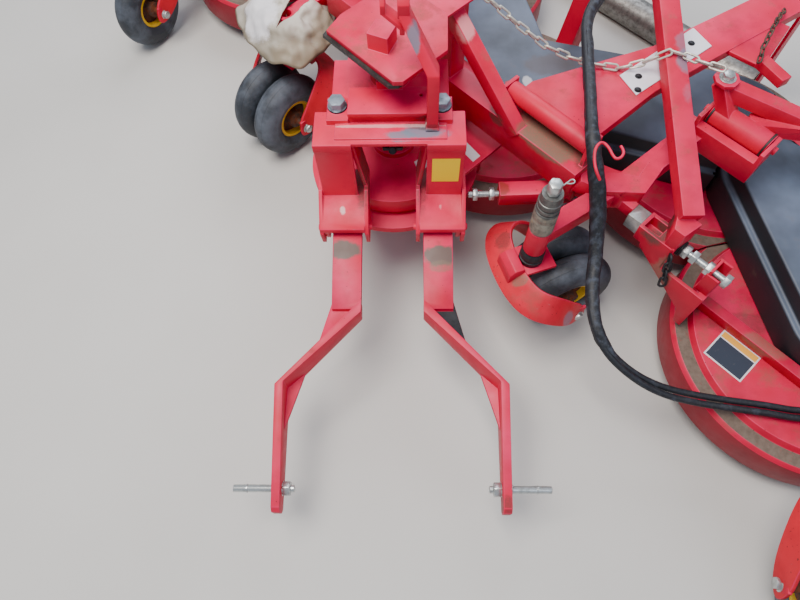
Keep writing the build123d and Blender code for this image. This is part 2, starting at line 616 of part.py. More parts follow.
save(wing_bars, "wing_bars", MOWER)
with BuildPart() as blocks:
    for side, name in SIDES:
        slab(side * BLOCK, side * CHANNEL[0], CHANNEL_Y[0] + 12, CHANNEL_Y[1] - 5, CHANNEL_Z[0], CHANNEL_Z[1] - 4)
save(blocks, "bearing_blocks", MOWER)

# The route of the first hose and how far the second one lies beside it, in the headstock's directions
HOSE_RADIUS = 10
HOSE_ROUTE = (
    # x, y, z, second hose to the side in x, in y
    (763, 665, 640, -21, 0),
    (763, 575, 640, -21, 0),
    (738, 470, 668, -23, 3),
    (668, 355, 694, -22, 6),
    (600, 237, 700, -21, 4),
    (585, 69, 702, -21, 0),
    (571, -75, 710, -21, 0),
    (554, -198, 724, -21, 0),
    (560, -284, 690, -21, 0),
    (588, -326, 606, -21, 0),
    (607, -372, 512, -21, 0),
    (609, -449, 440, -21, 0),
    (597, -536, 402, -21, 0),
    (594, -628, 388, -20, -7),
    (627, -702, 345, -16, -15),
    (708, -760, 298, -11, -20),
    (802, -794, 264, -7, -23),
    (902, -812, 248, -3, -24),
    (1003, -828, 246, 0, -24),
    (1102, -841, 246, 0, -24),
    (1190, -860, 247, 0, -24),
    (PORT[0], -860, 247, 0, -24),
)
HOSE_START = HOSE_ROUTE[0]
for name, share in (("inner", 0), ("outer", 1)):
    points = [Vector(x + share * dx, y + share * dy, z) for x, y, z, dx, dy in HOSE_ROUTE]
    radii = []
    for before, at, after in zip(points, points[1:], points[2:]):
        turn = (at - before).get_angle(after - at)
        shorter = min((at - before).length, (after - at).length)
        radii.append(0.45 * shorter / tan(radians(turn / 2)))
    with BuildPart() as hose:
        with BuildLine() as route:
            FilletPolyline(*points, radius=radii)
        with BuildSketch(Plane(origin=points[0], z_dir=points[1] - points[0])):
            Circle(HOSE_RADIUS)
        sweep()
    length = sum(edge.length for edge in route.edges())
    share_of_tube = hose.part.volume / (length * pi * HOSE_RADIUS**2)
    print(f"hose_{name}: length {length:.0f} mm, smallest bend radius {min(radii):.0f} mm, volume {share_of_tube:.3f} of the tube")
    print("  bend radii", [round(r) for r in radii])
    save(hose, f"hose_{name}")

# Long bars from the wing bars up to the apex, and the leaning post below it
with BuildPart() as long_bars:
    for side, name in SIDES:
        foot = (side * BAR_FOOT[0], BAR_FOOT[1], BAR_FOOT[2])
        strut(foot, APEX, LONG_BAR, LONG_BAR - 10)
        slab(side * 780, side * 960, 250, 400, CHANNEL_Z[0] - 20, CHANNEL_Z[1], Mode.SUBTRACT)
        toe = ((BAR_FOOT[0] - 44, 334), (BAR_FOOT[0] + 34, 334), (BAR_FOOT[0] + 24, 268), (BAR_FOOT[0] - 10, 268))
        level(mirrored(side, toe), CHANNEL_Z[1], 78)
    slab(-70, 70, APEX[1] - 70, APEX[1] + 40, APEX[2] - 50, APEX[2] + 50)
save(long_bars, "long_bars", MOWER)
POST_FOOT = (0, 925, DISC_TOP)
POST_WIDTH = 70
with BuildPart() as rear_post:
    strut((0, APEX[1] - 10, APEX[2] - 30), (0, POST_FOOT[1], POST_FOOT[2] - 30), POST_WIDTH, POST_WIDTH)
    slab(-200, 200, 700, 1300, 0, DISC_TOP, Mode.SUBTRACT)
    slab(-70, 70, APEX[1] - 70, APEX[1] + 40, APEX[2] - 50, APEX[2] + 50, Mode.SUBTRACT)
    with Locations(MOWER.inverse() * Location((HOSE_START[0] - 12, HOSE_START[1] + 35, HOSE_START[2]))):
        Box(84, 70, 50)
save(rear_post, "rear_post", MOWER)

# Rear frames that ride on rollers, hinged on lateral pins
WING_ROLLER_Y = DECK_WING[1] + DECK_RADIUS + ROLLER_RADIUS + ROLLER_GAP
WING_ROLLER = (1160, 1790)
REACH = (950, 795, 628)
for side, name in SIDES:
    with BuildPart() as rear_frame:
        a = side * WING_HINGE[0]
        b = side * WING_HINGE[1]
        rod((a, WING_HINGE_Y, WING_HINGE_Z), (b, WING_HINGE_Y, WING_HINGE_Z), WING_SLEEVE)
        strut((side * 735, WING_HINGE_Y, WING_HINGE_Z + 14), (side * 668, WING_HINGE_Y, WING_HINGE_Z + 106), 50, 38)
        reach = (side * REACH[0], REACH[1], REACH[2])
        strut((side * 676, WING_HINGE_Y + 6, WING_HINGE_Z + 86), (side * REACH[0], REACH[1], REACH[2] + 8), 46, 46)
        strut((side * 790, WING_HINGE_Y + 20, WING_HINGE_Z + 10), reach, 46, 46)
        strut(reach, (side * 1420, WING_ROLLER_Y - 40, 560), 56, 56)
        slab(side * WING_ROLLER[0], side * WING_ROLLER[1], WING_ROLLER_Y - 70, WING_ROLLER_Y - 20, 535, 585)
        for x in (WING_ROLLER[0], WING_ROLLER[1] - PLATE):
            slab(side * x, side * (x + PLATE), WING_ROLLER_Y - 55, WING_ROLLER_Y + 30, 35, 585)
        octagon = [(676 + dx, WING_HINGE_Y + dy) for dx, dy in ((-34, -14), (-14, -34), (14, -34), (34, -14), (34, 14), (14, 34), (-14, 34), (-34, 14))]
        level(mirrored(side, octagon), WING_HINGE_Z + 110, 12)
        rod((side * 900, WING_HINGE_Y, WING_HINGE_Z), (side * 600, WING_HINGE_Y, WING_HINGE_Z), HINGE_PIN + RUNNING, Mode.SUBTRACT)
        rod(
            (side * (WING_ROLLER[0] - 10), WING_ROLLER_Y, ROLLER_RADIUS),
            (side * (WING_ROLLER[1] + 10), WING_ROLLER_Y, ROLLER_RADIUS),
            ROLLER_PIN + RUNNING,
            Mode.SUBTRACT,
        )
    save(rear_frame, f"rear_frame_{name}", MOWER)
    with BuildPart() as roller:
        rod(
            (side * (WING_ROLLER[0] + PLATE + 8), WING_ROLLER_Y, ROLLER_RADIUS),
            (side * (WING_ROLLER[1] - PLATE - 8), WING_ROLLER_Y, ROLLER_RADIUS),
            ROLLER_RADIUS,
        )
        rod(
            (side * (WING_ROLLER[0] - 6), WING_ROLLER_Y, ROLLER_RADIUS),
            (side * (WING_ROLLER[1] + 6), WING_ROLLER_Y, ROLLER_RADIUS),
            ROLLER_PIN,
        )
    save(roller, f"rear_roller_{name}", MOWER)

CENTRE_ROLLER_Y = DECK_REAR[1] + DECK_RADIUS + ROLLER_RADIUS + ROLLER_GAP
CENTRE_ROLLER = 600
BEAM_Z = FRAME_HINGE_Z - 35
BEAM_THICK = 32
with BuildPart() as centre_frame:
    for side, name in SIDES:
        a = side * FRAME_HINGE[0]
        b = side * FRAME_HINGE[1]
        rod((a, FRAME_HINGE_Y, FRAME_HINGE_Z), (b, FRAME_HINGE_Y, FRAME_HINGE_Z), HINGE_SLEEVE)
        beam = (
            (262, FRAME_HINGE_Y + 10),
            (262, 330),
            (424, 708),
            (605, CENTRE_ROLLER_Y),
            (717, CENTRE_ROLLER_Y),
            (600, 880),
            (541, 561),
            (529, FRAME_HINGE_Y + 10),
        )
        level(mirrored(side, beam), BEAM_Z, BEAM_THICK)
        tongue = ((596, 858), (706, 872), (668, 1084), (630, 1076))
        level(mirrored(side, tongue), BEAM_Z + 14, 14)
        slab(side * CENTRE_ROLLER, side * (CENTRE_ROLLER + PLATE), CENTRE_ROLLER_Y - 35, CENTRE_ROLLER_Y + 30, 35, BEAM_Z + 10)
        rod((a - side * 5, FRAME_HINGE_Y, FRAME_HINGE_Z), (b + side * 5, FRAME_HINGE_Y, FRAME_HINGE_Z), HINGE_PIN + RUNNING, Mode.SUBTRACT)
        strut((side * 690, 872, BEAM_Z + 42), (side * 786, 846, BEAM_Z + 42), 36, 30)
    slab(-717, 717, CENTRE_ROLLER_Y - 40, CENTRE_ROLLER_Y, BEAM_Z, BEAM_Z + BEAM_THICK)
    rod(
        (-CENTRE_ROLLER - PLATE - 4, CENTRE_ROLLER_Y, ROLLER_RADIUS),
        (CENTRE_ROLLER + PLATE + 4, CENTRE_ROLLER_Y, ROLLER_RADIUS),
        ROLLER_PIN + RUNNING,
        Mode.SUBTRACT,
    )
save(centre_frame, "rear_frame_centre", MOWER)
with BuildPart() as roller:
    rod((-CENTRE_ROLLER + 8, CENTRE_ROLLER_Y, ROLLER_RADIUS), (CENTRE_ROLLER - 8, CENTRE_ROLLER_Y, ROLLER_RADIUS), ROLLER_RADIUS)
    rod((-CENTRE_ROLLER - PLATE, CENTRE_ROLLER_Y, ROLLER_RADIUS), (CENTRE_ROLLER + PLATE, CENTRE_ROLLER_Y, ROLLER_RADIUS), ROLLER_PIN)
save(roller, "rear_roller_centre", MOWER)

# Castors: a spindle, a fork bent round the wheels in plan, twin or single tyres that trail behind it
FORK_LEG = 14
SKIRT = 62
SKIRT_SHEET = 10
RINGS = (
    # from, to, radius, upwards from the head of the sleeve
    (4, 81, 31),
    (81, 97, 26),
    (97, 123, 31),
    (123, 137, 26),
    (137, 175, 30),
    (175, 191, 24),
)
for name, x, y, turn, wheels, trail in CASTORS:
    place = MOWER * Location((x, y, 0), (0, 0, turn))
    half = TYRE_WIDTH / 2 if wheels == 1 else TYRE_WIDTH + TYRE_GAP / 2
    inside = half + FORK_LEG
    with BuildPart() as fork:
        outer = ((trail + 12, inside + 66), (50, inside + 84), (-25, inside + 72), (-85, inside + 50), (-112, inside * 0.7))
        inner = ((trail + 12, inside + 24), (20, inside + 12), (-22, inside - 16), (-36, inside * 0.5))
        band = [(px, py) for px, py in outer] + [(px, -py) for px, py in reversed(outer)]
        band += [(px, -py) for px, py in inner] + [(px, py) for px, py in reversed(inner)]
        level(band, CROWN_TOP - PLATE, PLATE)
        skirt = [(px, py) for px, py in outer] + [(px, -py) for px, py in reversed(outer)]
        within = [(px + (SKIRT_SHEET if px < 0 else 0), py - SKIRT_SHEET) for px, py in outer]
        skirt += [(px, -py) for px, py in within] + list(reversed(within))
        level(skirt, CROWN_TOP - SKIRT, SKIRT)
        slab(-86, 48, -50, 50, CROWN_TOP - PLATE, CROWN_TOP)
        slab(-88, -30, -40, 40, CROWN_TOP, CROWN_TOP + 26)
        post(0, 0, CROWN_TOP, RING_TOP - 26, 44)
        post(0, 0, RING_TOP - 26, RING_TOP, 38)
        post(0, 0, RING_TOP, SPINDLE_TOP, SPINDLE_RADIUS)
        for low, high, radius in RINGS:
            post(0, 0, SLEEVE_HEAD + low, SLEEVE_HEAD + high, radius)
        for s in (-1, 1):
            leg = ((trail - 70, CROWN_TOP - PLATE), (trail + 12, CROWN_TOP - PLATE), (trail + 40, TYRE_RADIUS + 30), (trail + 30, TYRE_RADIUS - 30), (trail - 30, TYRE_RADIUS - 30), (trail - 42, TYRE_RADIUS + 30))
            flat(leg, Plane.XZ.offset(-s * (inside + 30) + PLATE / 2), -PLATE)
        rod(
            (trail, -inside - 60, TYRE_RADIUS),
            (trail, inside + 60, TYRE_RADIUS),
            AXLE_RADIUS + RUNNING,
            Mode.SUBTRACT,
        )
    save(fork, f"castor_fork_{name}", place)
    centres = (0,) if wheels == 1 else (-(TYRE_WIDTH + TYRE_GAP) / 2, (TYRE_WIDTH + TYRE_GAP) / 2)
    with BuildPart() as tyres:
        for c in centres:
            near = c - TYRE_WIDTH / 2
            profile = (
                (RIM_RADIUS, near + 8),
                (RIM_RADIUS + 26, near),
                (TYRE_RADIUS - 34, near),
                (TYRE_RADIUS - 12, near + 12),
                (TYRE_RADIUS, near + 34),
                (TYRE_RADIUS, near + TYRE_WIDTH - 34),
                (TYRE_RADIUS - 12, near + TYRE_WIDTH - 12),
                (TYRE_RADIUS - 34, near + TYRE_WIDTH),
                (RIM_RADIUS + 26, near + TYRE_WIDTH),
                (RIM_RADIUS, near + TYRE_WIDTH - 8),
            )
            with BuildSketch(Plane(origin=(trail, 0, TYRE_RADIUS), x_dir=(1, 0, 0), z_dir=(0, 0, 1))) as half_tyre:
                with BuildLine():
                    Polyline(*profile, close=True)
                make_face()
            revolve(half_tyre.sketch, axis=Axis((trail, 0, TYRE_RADIUS), (0, 1, 0)))
    save(tyres, f"castor_tyre_{name}", place)
    with BuildPart() as rim:
        for c in centres:
            near = c - TYRE_WIDTH / 2
            rod((trail, near + 14, TYRE_RADIUS), (trail, near + TYRE_WIDTH - 14, TYRE_RADIUS), RIM_RADIUS)
            for face in (near + 14, near + TYRE_WIDTH - 40):
                rod((trail, face, TYRE_RADIUS), (trail, face + 26, TYRE_RADIUS), RIM_RADIUS - 12, Mode.SUBTRACT)
            rod((trail, near + 4, TYRE_RADIUS), (trail, near + TYRE_WIDTH - 4, TYRE_RADIUS), 32)
        rod((trail, -inside - 38, TYRE_RADIUS), (trail, inside + 38, TYRE_RADIUS), AXLE_RADIUS)
    save(rim, f"castor_wheel_{name}", place)
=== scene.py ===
import json
from math import cos, pi, radians, sin

import bpy
from mathutils import Matrix, Vector


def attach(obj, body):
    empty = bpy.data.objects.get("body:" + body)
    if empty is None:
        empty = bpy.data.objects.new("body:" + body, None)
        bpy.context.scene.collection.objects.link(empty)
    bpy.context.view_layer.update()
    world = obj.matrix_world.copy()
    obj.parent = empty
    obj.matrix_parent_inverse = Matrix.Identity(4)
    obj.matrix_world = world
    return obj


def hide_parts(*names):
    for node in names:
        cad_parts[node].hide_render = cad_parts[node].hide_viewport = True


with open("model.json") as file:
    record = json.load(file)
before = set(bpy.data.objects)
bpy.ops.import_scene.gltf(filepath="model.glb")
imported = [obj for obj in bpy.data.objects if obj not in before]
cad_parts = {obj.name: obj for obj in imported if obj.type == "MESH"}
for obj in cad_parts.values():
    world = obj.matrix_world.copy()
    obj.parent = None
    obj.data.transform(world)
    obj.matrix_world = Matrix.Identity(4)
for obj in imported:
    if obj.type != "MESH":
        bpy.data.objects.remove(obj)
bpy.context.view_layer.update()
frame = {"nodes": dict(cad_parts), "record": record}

# Folded rotary mower, metres, +Z up. The kingpin stands to the left and in front of the origin,
# and the mower behind it is turned round the kingpin by the fold.
KINGPIN = Vector((-0.40557, -0.28892, 0))
FOLD = radians(-46.6)
FOLDED = Matrix.Translation(KINGPIN) @ Matrix.Rotation(FOLD, 4, "Z")
SIDES = (("left", -1), ("right", 1))


def from_kingpin(x, y, z):
    """A point given in millimetres from the kingpin along the headstock's directions."""
    return Vector((x, y, z)) / 1000 + KINGPIN


def on_mower(x, y, z):
    """A point given in millimetres along the row of decks and to the rear of the mower."""
    return FOLDED @ (Vector((x, y, z)) / 1000)


# Camera

EYE = from_kingpin(70, -1337, 2000)
GAZE = (25.641, 1.377, 0.534)     # turns about X, Y and Z in degrees
LENS = 27
SENSOR_WIDTH = 36
NEAREST = 0.05
FARTHEST = 60
bpy.ops.object.select_all(action="DESELECT")
bpy.ops.object.camera_add(location=EYE, rotation=[radians(angle) for angle in GAZE])
camera = bpy.context.object
camera.data.lens = LENS
camera.data.sensor_width = SENSOR_WIDTH
camera.data.clip_start = NEAREST
camera.data.clip_end = FARTHEST
bpy.context.scene.camera = camera

# Materials


def linear(code):
    """An sRGB hex colour as the linear colour that a shader takes."""
    shares = [int(code[i:i + 2], 16) / 255 for i in (1, 3, 5)]
    return [s / 12.92 if s < 0.04045 else ((s + 0.055) / 1.055) ** 2.4 for s in shares] + [1.0]


def fill(node, **inputs):
    """Fills a node's inputs with numbers, colours or other nodes' outputs."""
    for name, value in inputs.items():
        index = int(name[1:]) if name[0] == "i" and name[1:].isdigit() else name.replace("_", " ")
        if isinstance(value, bpy.types.NodeSocket):
            node.id_data.links.new(value, node.inputs[index])
        elif isinstance(value, str):
            node.inputs[index].default_value = linear(value)
        else:
            node.inputs[index].default_value = value


def add(tree, kind, settings=None, **inputs):
    """Adds a shader node to a tree with its settings and fills its inputs."""
    made = tree.nodes.new(kind)
    for name, value in (settings or {}).items():
        setattr(made, name, value)
    fill(made, **inputs)
    return made


def ramp(factor, low, high):
    """A value that climbs from 0 to 1 while the factor goes from low to high."""
    step = add(factor.id_data, "ShaderNodeMapRange", Value=factor, From_Min=low, From_Max=high)
    return step.outputs["Result"]


def noise(where, millimetres, detail=4.0, rough=0.55, stretch=(1, 1, 1)):
    """Noise whose patches are about that many millimetres across."""
    tree = where.id_data
    place = add(tree, "ShaderNodeMapping", Vector=where, Scale=stretch).outputs[0]
    made = add(
        tree, "ShaderNodeTexNoise", Vector=place, Scale=1000 / millimetres, Detail=detail, Roughness=rough,
    )
    return made.outputs["Fac"]


def both(a, b, operation="MULTIPLY"):
    """Two values combined, kept between 0 and 1."""
    tree = (a if isinstance(a, bpy.types.NodeSocket) else b).id_data
    return add(tree, "ShaderNodeMath", {"operation": operation, "use_clamp": True}, i0=a, i1=b).outputs[0]


def layered(colour, *layers):
    """A colour with tints laid over it in turn, each where its share is 1 and as thick as its cover."""
    for tint, share, cover in layers:
        share = both(share, cover)
        mixed = add(share.id_data, "ShaderNodeMix", {"data_type": "RGBA"}, i0=share, i6=colour, i7=tint)
        colour = mixed.outputs[2]
    return colour


def start(name):
    """An empty material, its shader and the place on the object."""
    made = bpy.data.materials.new(name)
    made.use_nodes = True
    tree = made.node_tree
    tree.nodes.clear()
    shader = add(tree, "ShaderNodeBsdfPrincipled")
    add(tree, "ShaderNodeOutputMaterial", Surface=shader.outputs[0])
    where = add(tree, "ShaderNodeTexCoord").outputs["Object"]
    return made, shader, where


def facing_up(where):
    """1 on faces that look at the sky, where sun and dust have paled the paint and where the lighter tint
    also stands for a painted sheen of top light.
    """
    tree = where.id_data
    normal = add(tree, "ShaderNodeNewGeometry").outputs["Normal"]
    parts = add(tree, "ShaderNodeSeparateXYZ", Vector=normal)
    return ramp(parts.outputs["Z"], 0.35, 0.95)


def give_bump(shader, height, depth, strength=0.5):
    """Relief of that depth in millimetres."""
    bump = add(shader.id_data, "ShaderNodeBump", Height=height, Strength=strength, Distance=depth / 1000)
    fill(shader, Normal=bump.outputs[0])


def worn_spot(where, place, reach):
    """1 in a patch with a ragged border round a place on the object, given its reach along each axis."""
    tree = where.id_data
    shift = add(tree, "ShaderNodeVectorMath", {"operation": "SUBTRACT"}, i0=where, i1=place)
    share = add(tree, "ShaderNodeVectorMath", {"operation": "DIVIDE"}, i0=shift.outputs[0], i1=reach)
    away = add(tree, "ShaderNodeVectorMath", {"operation": "LENGTH"}, i0=share.outputs[0])
    rough = both(noise(where, 34, 7, 0.72), 0.9)
    edge = add(tree, "ShaderNodeMath", {"operation": "ADD"}, i0=away.outputs["Value"], i1=rough)
    return ramp(edge.outputs[0], 1.45, 1.2)


def spots_at(to_world, *rows):
    """Patches of wear, dirt and painted sheen, with their place and reach in millimetres."""
    return tuple(
        (tint, cover, to_world(x, y, z), [span / 1000 for span in reach])
        for tint, cover, x, y, z, *reach in rows
    )


def tractor_paint(name, shade, fade_and_sheen_tint, deep, chips=0.5, mud=0.25, spots=()):
    """Red implement enamel: sprayed, paler pink on top from sun and a painted top sheen, scuffed grey,
    chipped to rust, muddy.
    """
    made, shader, where = start(name)
    up = facing_up(where)
    # paler tint on the top faces: sun fade, and a painted sheen of top light
    fade_and_sheen_share = both(up, ramp(noise(where, 260, 3), 0.30, 0.62))
    blotch = ramp(noise(where, 90, 5), 0.45, 0.75)
    # dry soil that rain has spread over the flat faces
    dust = ramp(noise(where, 70, 8, 0.7), 0.66 - mud * 0.35, 0.78 - mud * 0.2)
    soil = both(dust, up)
    # scuffs where steel has rubbed, drawn out along the surface
    rubs = noise(where, 30, 6, 0.62, (1, 3, 1))
    scuff = ramp(rubs, 0.80 - chips * 0.16, 0.86 - chips * 0.12)
    # small chips down to rusty steel
    chip = ramp(noise(where, 9, 3, 0.5), 0.80 - chips * 0.12, 0.83 - chips * 0.12)
    colour = layered(
        shade, (fade_and_sheen_tint, fade_and_sheen_share, 1), (deep, blotch, 0.5), ("#7d5a4c", soil, 0.62),
        ("#7f7a7c", scuff, 0.8), ("#4b2a20", chip, 1),
    )
    grit = ramp(noise(where, 5, 6, 0.75), 0.40, 0.62)
    for tint, cover, place, reach in spots:
        patch = worn_spot(where, place, reach)
        if tint in (SOIL, SOIL_DARK):
            patch = both(patch, both(grit, 0.55, "ADD"))
        colour = layered(colour, (tint, patch, cover))
    rough = add(where.id_data, "ShaderNodeMapRange", Value=noise(where, 25, 5), To_Min=0.32, To_Max=0.6)
    worn = both(rough.outputs["Result"], both(soil, 0.5), "ADD")
    fill(
        shader, Base_Color=colour, Roughness=both(worn, both(scuff, 0.2), "ADD"),
        IOR=1.5, Specular_IOR_Level=0.3,
    )
    relief = both(both(noise(where, 6, 4), 0.35), both(chip, 0.6), "SUBTRACT")
    give_bump(shader, relief, 0.6)
    return made


def worn_steel(name, shade="#8d8b86", dark="#4c4945", rust="#6b4430", rusty=0.4, rough=0.42, metal=0.85):
    """Bare or zinc plated steel: bright where it rubs, dull, and brown with flash rust in the hollows."""
    made, shader, where = start(name)
    grime = ramp(noise(where, 18, 6, 0.65), 0.42, 0.72)
    flash = ramp(noise(where, 26, 7, 0.68), 0.72 - rusty * 0.3, 0.82 - rusty * 0.25)
    dull = both(both(grime, 0.2), rough, "ADD")
    fill(
        shader, Base_Color=layered(shade, (dark, grime, 0.75), (rust, flash, 0.8)),
        Roughness=both(dull, both(flash, 0.3), "ADD"),
        Metallic=both(metal, both(flash, 0.9), "SUBTRACT"),
    )
    give_bump(shader, noise(where, 5, 5), 0.3)
    return made


def worn_rubber(name, shade, dust, dusty, size=60, stretch=(1, 1, 1)):
    """Black rubber, moulded, greyed with dry dust that keeps to the hollows; on the tyre the blue-grey tint
    also stands for a painted reflection of the sky.
    """
    made, shader, where = start(name)
    dust_and_sheen_film = ramp(noise(where, size, 6, 0.6, stretch), 0.62 - dusty * 0.3, 0.85 - dusty * 0.1)
    grain = ramp(noise(where, 7, 5, 0.7), 0.45, 0.7)
    fill(
        shader, Base_Color=layered(shade, ("#3a3a38", grain, 0.5), (dust, dust_and_sheen_film, 0.6)),
        Roughness=both(both(dust_and_sheen_film, 0.25), 0.55, "ADD"), Specular_IOR_Level=0.4,
    )
    give_bump(shader, noise(where, 4, 6, 0.7), 0.4)
    return made


def moulded_cover(name, shade, fade_and_sheen_tint, spots=()):
    """Moulded polyethylene or coated cloth: bleached on its top and lighter there with a painted top sheen,
    dull, with dust and dried mud.
    """
    made, shader, where = start(name)
    # paler tint on the top faces: sun fade, and a painted sheen of top light
    fade_and_sheen_share = both(facing_up(where), ramp(noise(where, 320, 4), 0.25, 0.6))
    soil = ramp(noise(where, 80, 8, 0.7), 0.60, 0.76)
    scratch = ramp(noise(where, 16, 6, 0.7, (1, 4, 1)), 0.68, 0.75)
    marks = [(tint, worn_spot(where, place, reach), cover) for tint, cover, place, reach in spots]
    worn = (fade_and_sheen_tint, fade_and_sheen_share, 0.75), ("#6a5a4b", soil, 0.45), ("#8c9196", scratch, 0.35)
    fill(
        shader, Base_Color=layered(shade, *worn, *marks),
        Roughness=both(both(soil, 0.25), 0.5, "ADD"),
    )
    give_bump(shader, noise(where, 3, 5, 0.6), 0.35)
    return made


def printed(name, base, rough=0.4):
    """Printed vinyl, glossy where new, scuffed and dusty."""
    made, shader, where = start(name)
    worn = ramp(noise(where, 9, 7, 0.7), 0.62, 0.74)
    fill(
        shader, Base_Color=layered(base, ("#b9a99a", worn, 0.3)),
        Roughness=both(both(worn, 0.3), rough, "ADD"),
    )
    give_bump(shader, noise(where, 8, 4), 0.1, 0.4)
    return made


# What the patches of wear, dirt and painted sheen are made of
GREY_RUB = "#717c8c"
SOIL = "#7b6655"
SOIL_DARK = "#4d3f38"
RUST = "#7a3b22"
# pale pink-white: paint rubbed bare, and a painted whitish sheen on upper faces
WORN_WHITE_AND_SHEEN = "#efdcd8"
CAKED = "#5d574f"

HEAD_SPOTS = spots_at(
    from_kingpin,
    # tint, cover, place, reach
    (GREY_RUB, 0.9, 92, -230, 722, 85, 28, 30),
    (GREY_RUB, 0.85, 30, -240, 722, 55, 22, 30),
    (GREY_RUB, 0.85, 66, -168, 985, 20, 45, 50),
    (SOIL_DARK, 0.6, 90, -205, 742, 50, 20, 20),
    (SOIL_DARK, 0.5, 116, -205, 752, 30, 40, 20),
    (SOIL, 0.35, 0, 0, 430, 300, 300, 50),
    (WORN_WHITE_AND_SHEEN, 0.6, -150, -300, 470, 12, 20, 20),
    (WORN_WHITE_AND_SHEEN, 0.6, 146, -290, 470, 10, 20, 20),
    (SOIL_DARK, 0.7, -88, -180, 500, 30, 140, 160),
    (SOIL_DARK, 0.45, -60, -35, 760, 90, 50, 50),
    (SOIL, 0.5, 60, -60, 760, 30, 30, 30),
    # the brace's upper face: partly worn, partly a painted whitish sheen
    (WORN_WHITE_AND_SHEEN, 0.35, 0, -208, 742, 200, 7, 12),
    (SOIL_DARK, 0.6, 88, -180, 480, 30, 140, 140),
)
FRAME_SPOTS = spots_at(
    on_mower,
    (SOIL, 0.85, 430, 241, 600, 100, 100, 20),
    (SOIL, 0.75, 350, 236, 600, 60, 60, 20),
    (SOIL_DARK, 0.7, 560, 260, 600, 50, 50, 30),
    (SOIL_DARK, 0.8, 250, 215, 600, 35, 50, 40),
    (WORN_WHITE_AND_SHEEN, 0.3, 95, 205, 820, 30, 40, 50),
    (SOIL, 0.7, 470, 250, 600, 200, 60, 30),
    (RUST, 0.7, 392, 90, 470, 30, 30, 50),
    (SOIL_DARK, 0.7, 600, 300, 600, 50, 60, 50),
    (SOIL_DARK, 0.55, 660, 620, 640, 40, 50, 50),
    (SOIL_DARK, 0.5, 915, 552, 640, 30, 30, 40),
    (SOIL, 0.5, 640, 250, 600, 70, 30, 40),
)
BAR_SPOTS = spots_at(
    on_mower,
    (GREY_RUB, 0.75, 560, 648, 728, 35, 50, 40),
    (GREY_RUB, 0.5, 520, 690, 728, 40, 50, 40),
    (GREY_RUB, 0.35, 640, 560, 728, 30, 60, 40),
    (SOIL_DARK, 0.6, 600, 672, 700, 30, 50, 40),
    (SOIL_DARK, 0.8, 820, 330, 520, 40, 40, 50),
)
WING_SPOTS = spots_at(
    on_mower,
    (SOIL_DARK, 0.85, 830, 300, 500, 60, 45, 60),
    (SOIL, 0.7, 900, 262, 380, 100, 30, 100),
    (SOIL, 0.6, 1260, 372, 262, 220, 50, 30),
)
ARM_SPOTS = spots_at(
    from_kingpin,
    (CAKED, 0.95, -152, -398, 395, 65, 32, 70),
    (CAKED, 0.95, 150, -416, 395, 65, 34, 70),
    (SOIL, 0.6, 150, -450, 390, 40, 20, 50),
    (SOIL_DARK, 0.6, 330, -1120, 195, 40, 30, 60),
)
LID_SPOTS = spots_at(
    from_kingpin,
    (SOIL, 0.55, 4, -60, 740, 50, 50, 50),
    (SOIL_DARK, 0.6, 140, 40, 740, 50, 90, 50),
    (GREY_RUB, 0.5, 95, 0, 740, 40, 50, 50),
    (SOIL_DARK, 0.45, -60, 60, 780, 50, 50, 50),
)
DECK_SPOTS = spots_at(
    on_mower,
    (SOIL_DARK, 0.6, 1010, 340, 222, 50, 50, 30),
    (SOIL, 0.6, 1060, 700, 222, 100, 100, 30),
    (SOIL_DARK, 0.5, 1180, 420, 222, 140, 40, 30),
    (SOIL_DARK, 0.5, 920, 560, 222, 80, 80, 50),
) + spots_at(from_kingpin, (SOIL_DARK, 0.6, 10, -120, 430, 50, 40, 30))
COVER_DIRT = ((915, 600), (960, 565), (1005, 520), (1048, 479), (1095, 437), (1140, 395), (1191, 354))
COVER_SPOTS = spots_at(
    on_mower,
    *((SOIL_DARK, 0.8, x, y, 372, 55, 55, 50) for x, y in COVER_DIRT),
    ("#c9ccd2", 0.7, 100, 560, 380, 20, 30, 30),
    ("#a8202c", 0.8, 55, 507, 380, 14, 12, 20),
    (SOIL_DARK, 0.5, 110, 690, 380, 120, 60, 30),
)
FORK_SPOTS = spots_at(
    from_kingpin,
    (SOIL, 0.75, 390, -475, 345, 35, 20, 30),
    (SOIL_DARK, 0.55, 475, -422, 345, 40, 20, 30),
    (GREY_RUB, 0.6, 560, -551, 215, 40, 30, 40),
    (SOIL_DARK, 0.6, 342, -327, 345, 40, 40, 30),
)
CRIMSON = "#c80032"
WINE = "#980026"
RED = tractor_paint("red implement enamel", CRIMSON, "#dc1850", WINE)
# lighter red on the rounded edges: rubbed wear, and a painted edge highlight
RED_EDGE_WEAR_AND_HIGHLIGHT = tractor_paint("worn and highlighted edge of the enamel", "#d01444", "#e03c6c", "#b0002e", 0.9, 0.2)
RED_HEAD = tractor_paint("enamel of the headstock", "#d40034", "#e61c54", "#a40028", 0.4, 0.1, HEAD_SPOTS)
RED_FRAME = tractor_paint("enamel of the carrier frame", CRIMSON, "#dc1850", WINE, spots=FRAME_SPOTS)
RED_BAR = tractor_paint("enamel of the long bars", CRIMSON, "#dc2054", WINE, spots=BAR_SPOTS)
RED_ARM = tractor_paint("enamel of the hitch arms", CRIMSON, "#dc2458", WINE, 0.6, 0.15, ARM_SPOTS)
RED_LID = tractor_paint("enamel of the pivot cover", CRIMSON, "#d81c50", WINE, mud=0.5, spots=LID_SPOTS)
RED_DECK = tractor_paint("enamel of the decks", "#c00030", "#d41c50", "#900024", 0.5, 0.45, DECK_SPOTS)
RED_FORK = tractor_paint("enamel of the castor forks", "#cc1028", "#e0324c", "#9a0c1c", 0.9, 0.4, FORK_SPOTS)
